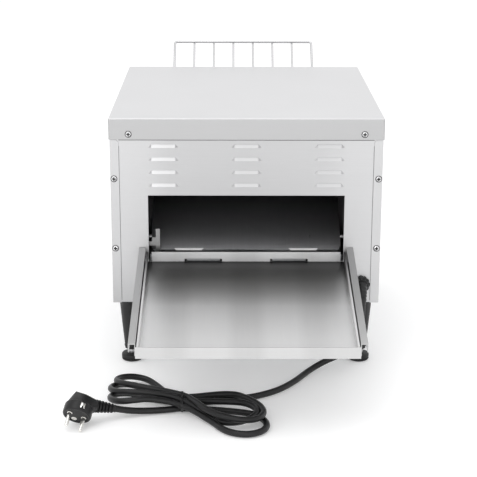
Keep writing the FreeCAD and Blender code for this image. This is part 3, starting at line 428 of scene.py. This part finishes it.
def add_piece(name, verts, faces, material, body, slot, smooth=True):
    mesh = bpy.data.meshes.new(name)
    mesh.from_pydata([tuple(v) for v in verts], [], faces)
    mesh.validate()
    work = bmesh.new()
    work.from_mesh(mesh)
    bmesh.ops.remove_doubles(work, verts=work.verts, dist=1e-6)
    bmesh.ops.recalc_face_normals(work, faces=work.faces)
    for face in work.faces:
        face.smooth = smooth
    if smooth:
        for edge in work.edges:
            if len(edge.link_faces) == 2 and edge.calc_face_angle(0) > math.radians(35):
                edge.smooth = False
    work.to_mesh(mesh)
    work.free()
    mesh.materials.append(material)
    piece = bpy.data.objects.new(name, mesh)
    bpy.context.scene.collection.objects.link(piece)
    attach(piece, body)
    return piece


def across_axes(axis):
    side = Vector((0, 0, 1)) if abs(axis.z) < 0.9 else Vector((1, 0, 0))
    first = side.cross(axis).normalized()
    return first, axis.cross(first).normalized()


def rings(stations, count, lobes=0, lobe_depth=0.0):
    """Vertices and faces of a closed skin through circles: each station is (centre, axis, radius)."""
    verts, faces = [], []
    for centre, axis, radius in stations:
        first, second = across_axes(axis)
        for k in range(count):
            a = TAU * k / count
            r = radius * (1 - lobe_depth * (0.5 - 0.5 * math.cos(lobes * a)) ** 4) if lobes else radius
            verts.append(centre + (first * math.cos(a) + second * math.sin(a)) * r)
    for s in range(len(stations) - 1):
        for k in range(count):
            j = (k + 1) % count
            faces.append((s * count + k, s * count + j, (s + 1) * count + j, (s + 1) * count + k))
    faces.append(tuple(range(count))[::-1])
    faces.append(tuple(range((len(stations) - 1) * count, len(stations) * count)))
    return verts, faces


def turned(profile, origin, axis, count=48, lobes=0, lobe_depth=0.0):
    """A turned form: the profile holds (distance along the axis, radius) in millimetres."""
    stations = [(origin + axis * (at * MM), axis, r * MM) for at, r in profile]
    return rings(stations, count, lobes, lobe_depth)


def merge(parts):
    verts, faces = [], []
    for part_verts, part_faces in parts:
        offset = len(verts)
        verts += list(part_verts)
        faces += [tuple(i + offset for i in face) for face in part_faces]
    return verts, faces


# ---------------------------------------------------------------- cord


def fold_points(x, y, far_z, near_z):
    """The U-turn at the left end of a turn. Its strands run on towards the tie where they leave the arc."""
    to_tie = Vector((TIE_X - x, TIE_Y - y))
    axis = math.atan2(to_tie[1], to_tie[0])
    side = math.acos(FOLD_R / math.hypot(to_tie[0], to_tie[1]))
    sweep = TAU - 2 * side
    points = []
    for k in range(-1, FOLD_STEPS + 2):
        a = axis + side + sweep * min(max(k, 0), FOLD_STEPS) / FOLD_STEPS
        share = min(max(k, 0), FOLD_STEPS) / FOLD_STEPS
        run = FOLD_ENTRY if k in (-1, FOLD_STEPS + 1) else 0
        ahead = 1 if k < 0 else -1
        points.append(
            (
                x + FOLD_R * math.cos(a) + ahead * run * math.sin(a),
                y + FOLD_R * math.sin(a) - ahead * run * math.cos(a),
                far_z + (near_z - far_z) * share,
            )
        )
    return points


def loop_points(x, y, length, width, heading, near_z, tip_z, far_z):
    """The drop-shaped loop right of the tie, out along its near side and back along its far side."""
    turn = math.radians(heading)
    points = []
    for k in range(LOOP_STEPS + 1):
        a = math.radians(-75 - 210 * k / LOOP_STEPS)
        along = length * (1 - math.cos(a)) / 2
        off = width * math.sin(a) * math.sqrt(abs(math.sin(a / 2)))
        share = abs(2 * k / LOOP_STEPS - 1)
        z = tip_z + ((near_z if a > -math.pi else far_z) - tip_z) * share
        ahead = along * math.cos(turn) - off * math.sin(turn)
        aside = along * math.sin(turn) + off * math.cos(turn)
        points.append((x + ahead, y + aside, z))
    return points


def plug_neck():
    return PLUG_FACE - PLUG_NORMAL * PLUG_NECK_BACK


def cord_points():
    points = list(LEAD)
    for going, fold, back, loop in TURNS:
        points.append((TIE_X, *going))
        points += fold_points(*fold)
        points.append((TIE_X, *back))
        points += loop_points(*loop)
    points.append((TIE_X, *TIE_EXIT))
    points += PLUG_LEAD
    points += [tuple(plug_neck() + PLUG_CABLE * reach) for reach in (PLUG_REACH, PLUG_REACH - 16)]
    return [place(*p) for p in points]


def make_cord():
    curve = bpy.data.curves.new("mains_cord", "CURVE")
    curve.dimensions = "3D"
    spline = curve.splines.new("NURBS")
    points = cord_points()
    spline.points.add(len(points) - 1)
    for control, at in zip(spline.points, points):
        control.co = (*at, 1)
    spline.order_u = 3
    spline.use_endpoint_u = True
    spline.resolution_u = 10
    curve.bevel_resolution = 6
    curve.use_fill_caps = True
    cord = bpy.data.objects.new("mains_cord", curve)
    bpy.context.scene.collection.objects.link(cord)
    bpy.context.view_layer.update()
    line = bpy.data.meshes.new_from_object(cord)
    centres = [v.co.copy() for v in line.vertices]
    bpy.data.meshes.remove(line)
    curve.bevel_depth = CORD_R
    curve.materials.append(CORD)
    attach(cord, "casing")
    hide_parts("mains_lead", "cord_hank", "plug_lead")
    return cord, centres


def hull_of(points):
    """Outline of a set of plane points, in order."""
    points = sorted(points)

    def half(run):
        chain = []
        for p in run:
            while len(chain) > 1 and (
                (chain[-1][0] - chain[-2][0]) * (p[1] - chain[-2][1])
                - (chain[-1][1] - chain[-2][1]) * (p[0] - chain[-2][0])
                <= 0
            ):
                chain.pop()
            chain.append(p)
        return chain[:-1]

    return half(points) + half(points[::-1])


def make_tie(centres):
    """A narrow band pulled round every strand that passes the tie."""
    x0 = TIE_X * MM
    crossings = []
    for a, b in zip(centres, centres[1:]):
        if (a.x - x0) * (b.x - x0) <= 0 and a.x != b.x:
            crossings.append(a.lerp(b, (x0 - a.x) / (b.x - a.x)))
    around = []
    for c in crossings:
        for k in range(16):
            a = TAU * k / 16
            around.append((c.y + math.cos(a) * (CORD_R + 0.2 * MM), c.z + math.sin(a) * (CORD_R + 0.2 * MM)))
    outline = [(y, max(z, 0.4 * MM)) for y, z in hull_of(around)]
    count = len(outline)
    centre = Vector((0, sum(y for y, _ in outline) / count, sum(z for _, z in outline) / count))
    section = [(-1.6, 0.0), (-1.3, 0.9), (1.3, 0.9), (1.6, 0.0)]
    verts, faces = [], []
    for y, z in outline:
        out = (Vector((0, y, z)) - centre).normalized()
        for along, lift in section:
            spot = Vector((x0 + along * MM, y, z)) + out * (lift * MM)
            spot.z = max(spot.z, 0.2 * MM)
            verts.append(spot)
    size = len(section)
    for i in range(count):
        j = (i + 1) % count
        for k in range(size):
            n = (k + 1) % size
            faces.append((i * size + k, i * size + n, j * size + n, j * size + k))
    top = max(outline, key=lambda p: p[1] * 2 - p[0])
    tail = []
    for t in range(5):
        lift = t / 4
        at = Vector((x0 + 0.6 * MM * t, top[0] + 4 * MM * lift, top[1] + (0.6 + 3.4 * lift) * MM))
        tail.append((at, Vector((0.25, 0.6, 0.75)).normalized(), (1.1 - 0.35 * lift) * MM))
    band = merge([(verts, faces), rings(tail, 10)])
    piece = add_piece("cord_tie", *band, BLACK, "casing", "black_plastic")
    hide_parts("hank_tie")
    return piece


def make_gland():
    """Ribbed gland nut on the rear panel, and the elbow boot that the cord leaves through."""
    low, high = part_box("cable_gland")
    centre = Vector(((low.x + high.x) / 2, 0, (low.z + high.z) / 2))
    face = Vector((centre.x, Y_REAR + 2.4 * MM, centre.z))
    out = Vector((0, -1, 0))
    nut = turned(
        [(0, 12.5), (0.6, 12.5), (1.2, 12.0), (4.8, 12.0), (5.6, 11.2), (6.0, 10.2), (9.4, 9.8), (10.0, 9.0)],
        face,
        out,
        72,
        12,
        0.10,
    )
    shank = turned([(-1.2, 7.9), (0, 7.9)], face, out, 32)
    back = turned([(-7.0, 11.0), (-6.6, 12.6), (-1.4, 12.8), (-1.2, 12.4)], face, out, 48, 6, 0.08)
    piece = add_piece("gland_nut", *merge([nut, shank, back]), BLACK, "casing", "black_plastic")
    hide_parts("cable_gland")
    start = Vector((centre.x, Y_REAR + 2.4 * MM - 10 * MM, centre.z))
    radius = 18.4 * MM
    middle = start - Vector((0, 0, radius))
    stations = []
    steps = 44
    for k in range(steps + 1):
        t = k / steps
        a = t * math.pi / 2
        at = middle + Vector((0, -math.sin(a), math.cos(a))) * radius
        axis = Vector((0, -math.cos(a), -math.sin(a)))
        taper = 8.0 - 2.6 * t
        rib = 0.55 * (0.5 + 0.5 * math.cos(TAU * t * 6)) if 0.12 < t < 0.92 else 0.0
        stations.append((at, axis, (taper - 0.55 + rib) * MM))
    end, down = stations[-1][0], stations[-1][1]
    stations.append((end + down * (1.2 * MM), down, 4.6 * MM))
    boot = add_piece("strain_relief_boot", *rings(stations, 32), BLACK, "casing", "black_plastic")
    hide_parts("strain_relief")


def plug_point(offset):
    return place(*(PLUG_FACE + offset))


def convex(points):
    work = bmesh.new()
    for p in points:
        work.verts.new(p)
    result = bmesh.ops.convex_hull(work, input=work.verts)
    bmesh.ops.delete(work, geom=result["geom_interior"], context="VERTS")
    work.verts.ensure_lookup_table()
    work.verts.index_update()
    verts = [v.co.copy() for v in work.verts]
    faces = [tuple(v.index for v in f.verts) for f in work.faces]
    work.free()
    return verts, faces


def make_plug():
    """Angled earthed plug: round contact face, faceted hood, neck and ribbed relief."""
    out, cable = PLUG_NORMAL, PLUG_CABLE
    across = (cable - out * cable.dot(out)).normalized()
    third = out.cross(across).normalized()

    def disc(at, radius, count=40):
        ring = []
        for k in range(count):
            a = TAU * k / count
            ring.append(plug_point(out * at + (across * math.cos(a) + third * math.sin(a)) * radius))
        return ring

    face_block = turned(
        [(-13.5, 17.2), (-13.0, 18.2), (-2.2, 18.4), (-0.5, 17.8), (0.0, 16.8), (0.0, 15.2), (-1.1, 14.6)],
        plug_point(Vector()),
        out,
        72,
    )
    neck_axis = cable
    neck_base = PLUG_FACE - out * PLUG_NECK_BACK
    neck_end = []
    for k in range(8):
        a = TAU * (k + 0.5) / 8
        rim = neck_base + neck_axis * 23 + third * (8.2 * math.cos(a))
        neck_end.append(place(*(rim + neck_axis.cross(third) * (7.4 * math.sin(a)))))
    top = []
    for u, v in ((-11, -7), (-11, 7), (2, 10), (2, -10), (13, 8.5), (13, -8.5)):
        top.append(plug_point(out * (-29 + max(0, u) * 0.25) + across * u + third * v))
    hood = convex(disc(-12.5, 17.6, 28) + top + neck_end)
    body = add_piece("plug_hood", *merge([face_block, hood]), PLUG, "casing", "plug_plastic")
    bevel = body.modifiers.new("edges", "BEVEL")
    bevel.width = 0.8 * MM
    bevel.segments = 2
    bevel.limit_method = "ANGLE"
    bevel.angle_limit = math.radians(24)
    profile = [(21.0, 8.4), (22.5, 8.4)]
    for k in range(5):
        at = 24.0 + k * 4.4
        wide = 8.2 - 0.55 * k
        profile += [(at, wide - 2.0), (at + 0.5, wide), (at + 2.2, wide), (at + 2.7, wide - 2.0)]
    profile += [(46.5, 5.0), (48.0, 4.7)]
    relief = add_piece(
        "plug_relief", *turned(profile, place(*neck_base), neck_axis, 40), PLUG, "casing", "plug_plastic"
    )
    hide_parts("plug_body")
    pins = []
    for side in (-1, 1):
        base = PLUG_FACE + across * (9.5 * side)
        pins.append(
            turned(
                [(-1.2, 2.35), (0, 2.4), (16.6, 2.4), (17.8, 2.2), (18.7, 1.6), (19.2, 0.8), (19.35, 0.1)],
                place(*base),
                out,
                28,
            )
        )
        pins.append(turned([(-1.2, 3.4), (-0.75, 3.4), (-0.6, 3.1), (-0.6, 2.4)], place(*base), out, 28))
    pin_piece = add_piece("plug_pin_pair", *merge(pins), PIN, "casing", "pin_metal")
    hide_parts("plug_pins")
    socket = PLUG_FACE + third * -9.0
    earth = [
        turned([(-1.2, 3.6), (-0.55, 3.6), (-0.4, 3.3), (-0.4, 2.5), (-1.1, 2.3)], place(*socket), out, 32),
    ]
    for side in (-1, 1):
        rim = PLUG_FACE + third * (17.4 * side)
        strip = []
        for at, lift in ((-11.5, 0.2), (-11.0, 0.9), (-3.5, 0.9), (-1.6, -0.6)):
            for u in (-3.0, 3.0):
                strip.append(place(*(rim + out * at + across * u + third * (lift * side))))
        faces = [(0, 1, 3, 2), (2, 3, 5, 4), (4, 5, 7, 6)]
        earth.append((strip, faces))
    contact = add_piece("plug_earth_contacts", *merge(earth), PIN, "casing", "pin_metal")
    thick = contact.modifiers.new("thickness", "SOLIDIFY")
    thick.thickness = 0.5 * MM
    return [body, relief, pin_piece, contact]


cord, centres = make_cord()
tie = make_tie(centres)
make_gland()
plug_pieces = make_plug()


# ---------------------------------------------------------------- screws, feet, knobs and rack


def screw_head(at, out):
    """Pan head with a cross recess."""
    first, second = across_axes(out)
    verts, faces = [], []
    rings_count, around = 12, 48
    for i in range(rings_count + 1):
        r = 3.7 * i / rings_count
        for k in range(around):
            a = TAU * k / around
            u, v = r * math.cos(a), r * math.sin(a)
            arm = min(abs(u), abs(v)) < 0.85 and max(abs(u), abs(v)) < 2.3
            height = 0.15 + 1.4 * math.sqrt(max(0.0, 1 - (r / 3.75) ** 3.2)) - (0.9 if arm else 0.0)
            verts.append(at + out * (height * MM) + first * (u * MM) + second * (v * MM))
    for i in range(rings_count):
        for k in range(around):
            j = (k + 1) % around
            faces.append((i * around + k, i * around + j, (i + 1) * around + j, (i + 1) * around + k))
    return verts, faces


def screw_washer(at, out):
    """Toothed washer under a head, near-black as painted shade for the dark ring round the head."""
    return turned([(0.02, 4.7), (0.25, 4.7), (0.4, 4.4), (0.4, 3.5)], at, out, 60, 20, 0.10)


def screw_recess_shade(at, out):
    """Near-black block in the foot of the cross recess: painted shade in the recess."""
    first, second = across_axes(out)
    arm, reach = 0.8, 2.2
    outline = []
    for c, d in ((1, 0), (0, 1), (-1, 0), (0, -1)):
        for along, across in ((reach, -arm), (reach, arm), (arm, arm)):
            outline.append((along * c - across * d, along * d + across * c))
    count = len(outline)
    verts = []
    for height in (0.2, 1.0):
        for u, v in outline:
            verts.append(at + out * (height * MM) + first * (u * MM) + second * (v * MM))
    faces = [tuple(reversed(range(count))), tuple(range(count, 2 * count))]
    for k in range(count):
        j = (k + 1) % count
        faces.append((k, j, count + j, count + k))
    return verts, faces


def make_screws():
    """One head at each of the twelve CAD screws: lid and side covers, rear and front."""
    rear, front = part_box("case_screws")[0].y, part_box("case_screws")[1].y
    head = 1.6
    heads, washers, recess_shades = [], [], []
    for x, drop, inset in ((158.5, 21.3, 0.0), (179.0, 83.0, 1.2), (179.0, 181.0, 1.2)):
        for side in (-1, 1):
            for y, facing in ((rear + (head + inset) * MM, -1), (front - (head + inset) * MM, 1)):
                at = Vector((side * x * MM, y, LID_TOP - drop * MM))
                out = Vector((0, facing, 0))
                heads.append(screw_head(at, out))
                washers.append(screw_washer(at, out))
                recess_shades.append(screw_recess_shade(at, out))
    piece = add_piece("pan_head_screws", *merge(heads), SCREW, "casing", "screw_steel")
    add_piece("screw_washers", *merge(washers), SHADE_BLACK_STEEL, "casing", "screw_steel")
    add_piece("screw_recess_shade_blocks", *merge(recess_shades), SHADE_BLACK_STEEL, "casing", "screw_steel", smooth=False)
    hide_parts("case_screws")


def block(low, high):
    """A closed block between two corners."""
    spans = list(zip(low, high))
    verts = [Vector((x, y, z)) for x in spans[0] for y in spans[1] for z in spans[2]]
    faces = [(0, 1, 3, 2), (4, 6, 7, 5), (0, 4, 5, 1), (2, 3, 7, 6), (0, 2, 6, 4), (1, 5, 7, 3)]
    return verts, faces


def make_seam_shade():
    """Thin black strips in the seams of the rear, under the lid flange and beside the corner flanges: painted
    shade in the seam gaps.
    """
    face = HOOD_FACE + HOOD_DEPTH
    back = face + 0.2 * MM
    lid_edge = LID_TOP - LID_FLANGE
    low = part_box("rear_panel")[0].z + 2 * MM
    under_lid = (-CORNER_FLANGE_X, face - 0.5 * MM, lid_edge - 1.2 * MM)
    strips = [block(under_lid, (CORNER_FLANGE_X, back, lid_edge - 0.3 * MM))]
    for side in (-1, 1):
        x0, x1 = sorted((side * CORNER_FLANGE_X, side * (CORNER_FLANGE_X - 0.4 * MM)))
        strips.append(block((x0, face - 0.4 * MM, low), (x1, back, lid_edge - 9 * MM)))
    add_piece("seam_shade_strips", *merge(strips), BLACK, "casing", "black_plastic", smooth=False)


def leg_profile(low, high):
    """Radii up the cone: a bead at the foot, a straight taper and a rim under the casing."""
    height = (high - low) / MM
    profile = [(0.0, 9.2), (0.5, 10.0), (3.0, 10.2), (3.6, 10.8), (5.0, 10.9), (5.6, 10.4)]
    for k in range(1, 9):
        share = k / 8
        profile.append((5.6 + (height - 11.0) * share, 10.4 + 6.0 * share))
    profile += [(height - 4.6, 16.9), (height - 0.6, 17.0), (height, 16.6)]
    return profile


def make_legs():
    low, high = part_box("legs")
    up = Vector((0, 0, 1))
    cones = []
    for x in (low.x + LEG_TOP_R, high.x - LEG_TOP_R):
        for y in (low.y + LEG_TOP_R, high.y - LEG_TOP_R):
            cones.append(turned(leg_profile(low.z, high.z), Vector((x, y, low.z)), up, 64))
    piece = add_piece("leg_cones", *merge(cones), RUBBER, "casing", "leg_rubber")
    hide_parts("legs")
    for corner in CORNERS:
        make_foot(corner)


def make_foot(corner):
    """Levelling foot: grooved rubber disc, hexagon nut and threaded stud."""
    low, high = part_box(f"foot_pad_{corner}")
    base = Vector(((low.x + high.x) / 2, (low.y + high.y) / 2, low.z))
    up = Vector((0, 0, 1))
    disc = [(0.0, 12.4), (0.6, 13.8), (1.8, 14.9), (3.2, 15.0), (3.6, 14.2), (4.6, 14.2), (5.0, 15.0)]
    disc += [(8.0, 15.0), (9.4, 14.3), (10.0, 12.8), (10.0, 7.0)]
    nut = turned([(10.0, 6.4), (10.5, 7.0), (16.1, 7.0), (16.7, 6.4)], base, up, 6)
    top = (high.z - low.z) / MM
    thread = [(10.0, 3.3)]
    turns = 28
    for k in range(turns):
        at = 16.7 + (top - 18.0) * k / turns
        pitch = (top - 18.0) / turns
        thread += [(at, 3.3), (at + pitch / 2, 3.95)]
    thread += [(top - 1.0, 3.4), (top, 2.6)]
    body = f"foot_{corner}"
    pad = add_piece(f"foot_disc_{corner}", *turned(disc, base, up, 72, 36, 0.02), RUBBER, body, "leg_rubber")
    stud = turned(thread, base, up, 24)
    add_piece(f"foot_stud_{corner}", *merge([nut, stud]), MACHINED, body, "screw_steel")
    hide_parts(f"foot_pad_{corner}")


def make_knob(name, rest, slots=18):
    """Control knob: skirt, fluted grip, domed cap and a white pointer line at the rest angle."""
    low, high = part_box(name)
    axis = Vector((0, 1, 0))
    centre = Vector(((low.x + high.x) / 2, 0, (low.z + high.z) / 2))
    face = FASCIA_FACE + KNOB_GAP
    base = Vector((centre.x, face, centre.z))
    depth = (high.y - face) / MM
    skirt = turned([(0, 16.2), (0.5, 17.0), (2.6, 17.0), (3.4, 16.2), (3.8, 14.6)], base, axis, 72)
    profile = [(3.6, 14.6), (4.6, 14.3), (depth - 3.0, 13.0), (depth - 1.2, 12.2)]
    profile += [(depth - 0.3, 10.4), (depth, 7.0)]
    grip = turned(profile, base, axis, 144, slots, 0.09)
    stem = turned([(-9.0, 2.7), (-8.0, 3.0), (0.2, 3.0)], base, axis, 24)
    body = add_piece(f"{name}_body", *merge([skirt, grip, stem]), BLACK, name, "black_plastic")
    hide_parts(name)
    tip = base + axis * ((depth - 0.35) * MM)
    heading = Vector((math.sin(math.radians(rest)), 0, math.cos(math.radians(rest))))
    line = turned([(-8.8, 0.35), (-8.5, 0.55), (-1.0, 0.55), (-0.7, 0.35)], tip, -heading, 12)
    add_piece(f"{name}_pointer", *line, PRINT, name, "white_plastic")


def dial_marks(name, first, last, count):
    """Printed strokes round a knob, growing from the first to the last."""
    low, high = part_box(name)
    centre = Vector(((low.x + high.x) / 2, FASCIA_FACE, (low.z + high.z) / 2))
    strokes = []
    for k in range(count):
        share = k / (count - 1)
        a = math.radians(first + (last - first) * share)
        out = Vector((math.sin(a), 0, math.cos(a)))
        side = Vector((math.cos(a), 0, -math.sin(a)))
        half = (0.35 + 0.35 * share) * MM
        inner, outer = centre + out * (18.4 * MM), centre + out * ((20.2 + 1.6 * share) * MM)
        lift = Vector((0, 0.06 * MM, 0))
        ring = [inner - side * half, inner + side * half, outer + side * half, outer - side * half]
        verts = ring + [v + lift for v in ring]
        faces = [(4, 5, 6, 7), (0, 1, 5, 4), (1, 2, 6, 5), (2, 3, 7, 6), (3, 0, 4, 7)]
        strokes.append((verts, faces))
    add_piece(f"{name}_scale", *merge(strokes), PRINT, "casing", "white_plastic", smooth=False)


def bent_wire(name, points, radius, bend, material, body, slot):
    """A round wire through corner points, each corner rounded by a short arc."""
    line = [points[0]]
    for a, b, c in zip(points, points[1:], points[2:]):
        back, ahead = (a - b).normalized(), (c - b).normalized()
        start, end = b + back * bend, b + ahead * bend
        for k in range(9):
            t = k / 8
            line.append(start * (1 - t) ** 2 + b * (2 * t * (1 - t)) + end * t**2)
    line.append(points[-1])
    curve = bpy.data.curves.new(name, "CURVE")
    curve.dimensions = "3D"
    spline = curve.splines.new("POLY")
    spline.points.add(len(line) - 1)
    for control, at in zip(spline.points, line):
        control.co = (*at, 1)
    curve.bevel_depth = radius
    curve.bevel_resolution = 5
    curve.use_fill_caps = True
    curve.materials.append(material)
    piece = bpy.data.objects.new(name, curve)
    bpy.context.scene.collection.objects.link(piece)
    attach(piece, body)
    return piece


def make_rack():
    """Loading rack: hoop, wires hooked over its bar, lower cross wire and the leg against the front."""
    low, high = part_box("wire_rack")
    bar_r, wire_r = 1.9 * MM, 1.6 * MM
    half, overhang = 114.8 * MM, 4 * MM
    gap = 2.4 * MM
    look = (CHROME, "wire_rack", "chrome_wire")
    top = Vector((0, high.y - 2.0 * MM, high.z - 2.0 * MM))
    foot = Vector((0, Y_FRONT - 20.0 * MM, LID_TOP - 88.6 * MM))
    lean = (top - foot).normalized()
    over = lean.cross(Vector((1, 0, 0)))

    def at(x, base):
        return Vector((x, base.y, base.z))

    route = [at(-half, foot), at(-half, top), at(half, top), at(half, foot)]
    hoop = bent_wire("rack_hoop", route, bar_r, 5 * MM, *look)
    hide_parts("wire_rack")
    pitch = 2 * half / 7
    under = over * (-gap if over.z > 0 else gap)
    for k in range(1, 7):
        x = -half + k * pitch
        bend = at(x, top) + under - lean * (1.2 * MM)
        hook = at(x, top) + under * -0.3 + lean * (0.4 * MM)
        bent_wire(f"rack_wire_{k}", [at(x, foot) + under, bend, hook], wire_r, wire_r, *look)
    route = [at(-half - overhang, foot), at(0, foot) - lean * (0.2 * MM), at(half + overhang, foot)]
    bent_wire("rack_cross_wire", route, bar_r, 4 * MM, *look)
    knee = foot.lerp(top, 0.55)
    rest = Vector((0, Y_FRONT - 0.1 * MM, low.z + 2.0 * MM))
    route = [at(-half, knee), at(-half, rest), at(half, rest), at(half, knee)]
    bent_wire("rack_leg", route, bar_r, 10 * MM, *look)


make_screws()
make_seam_shade()
make_legs()
make_knob("speed_knob", SPEED_SWEEP[0])
make_knob("heat_knob", HEAT_SWEEP[0], 3)
dial_marks("speed_knob", *SPEED_SWEEP, 11)
dial_marks("heat_knob", *HEAT_SWEEP, 4)
make_rack()

# ---------------------------------------------------------------- floor, light


def make_stage():
    mesh = bpy.data.meshes.new("floor")
    half = 16.0
    corners = [(-half, -half, 0), (half, -half, 0), (half, half, 0), (-half, half, 0)]
    mesh.from_pydata(corners, [], [(0, 1, 2, 3)])
    material, tree, shader, coords = new_material("studio_floor")
    soft = noise(tree, coords, 2)
    pale = ramp(tree, soft, [(0, (0.90, 0.90, 0.90)), (1, (0.92, 0.92, 0.92))])
    tree.links.new(pale, shader.inputs["Base Color"])
    tree.links.new(pale, shader.inputs["Emission Color"])
    shader.inputs["Emission Strength"].default_value = 0.20
    shader.inputs["Roughness"].default_value = 0.9
    shader.inputs["Specular IOR Level"].default_value = 0.1
    mesh.materials.append(material)
    floor = bpy.data.objects.new("floor", mesh)
    bpy.context.scene.collection.objects.link(floor)


def area_light(name, at, aim, size, power):
    data = bpy.data.lights.new(name, "AREA")
    data.shape = "RECTANGLE"
    data.size, data.size_y = size
    data.energy = power
    light = bpy.data.objects.new(name, data)
    light.location = at
    light.rotation_euler = (Vector(aim) - Vector(at)).to_track_quat("-Z", "Y").to_euler()
    bpy.context.scene.collection.objects.link(light)


def make_light():
    world = bpy.data.worlds.new("studio")
    bpy.context.scene.world = world
    world.use_nodes = True
    tree = world.node_tree
    background = tree.nodes["Background"]
    coords = tree.nodes.new("ShaderNodeTexCoord")
    split = tree.nodes.new("ShaderNodeSeparateXYZ")
    tree.links.new(coords.outputs["Generated"], split.inputs["Vector"])
    white = (1.0, 1.0, 1.0)
    sky = [(0.0, white), (0.35, (0.96, 0.96, 0.97)), (0.75, white), (1.0, (0.7, 0.7, 0.7))]
    tree.links.new(ramp(tree, split.outputs["Z"], sky), background.inputs["Color"])
    background.inputs["Strength"].default_value = 1.0
    area_light("key", (-0.9, -1.2, 2.2), (0, 0, 0.2), (1.6, 1.6), 12)
    area_light("top", (0.2, 0.2, 2.6), (0, 0, 0.3), (2.2, 2.2), 14)
    area_light("front", (0.0, -2.6, 0.55), (0, -0.2, 0.0), (2.4, 0.7), 7)
    view = bpy.context.scene.view_settings
    view.view_transform = "Standard"
    view.look = "None"


make_stage()
make_light()
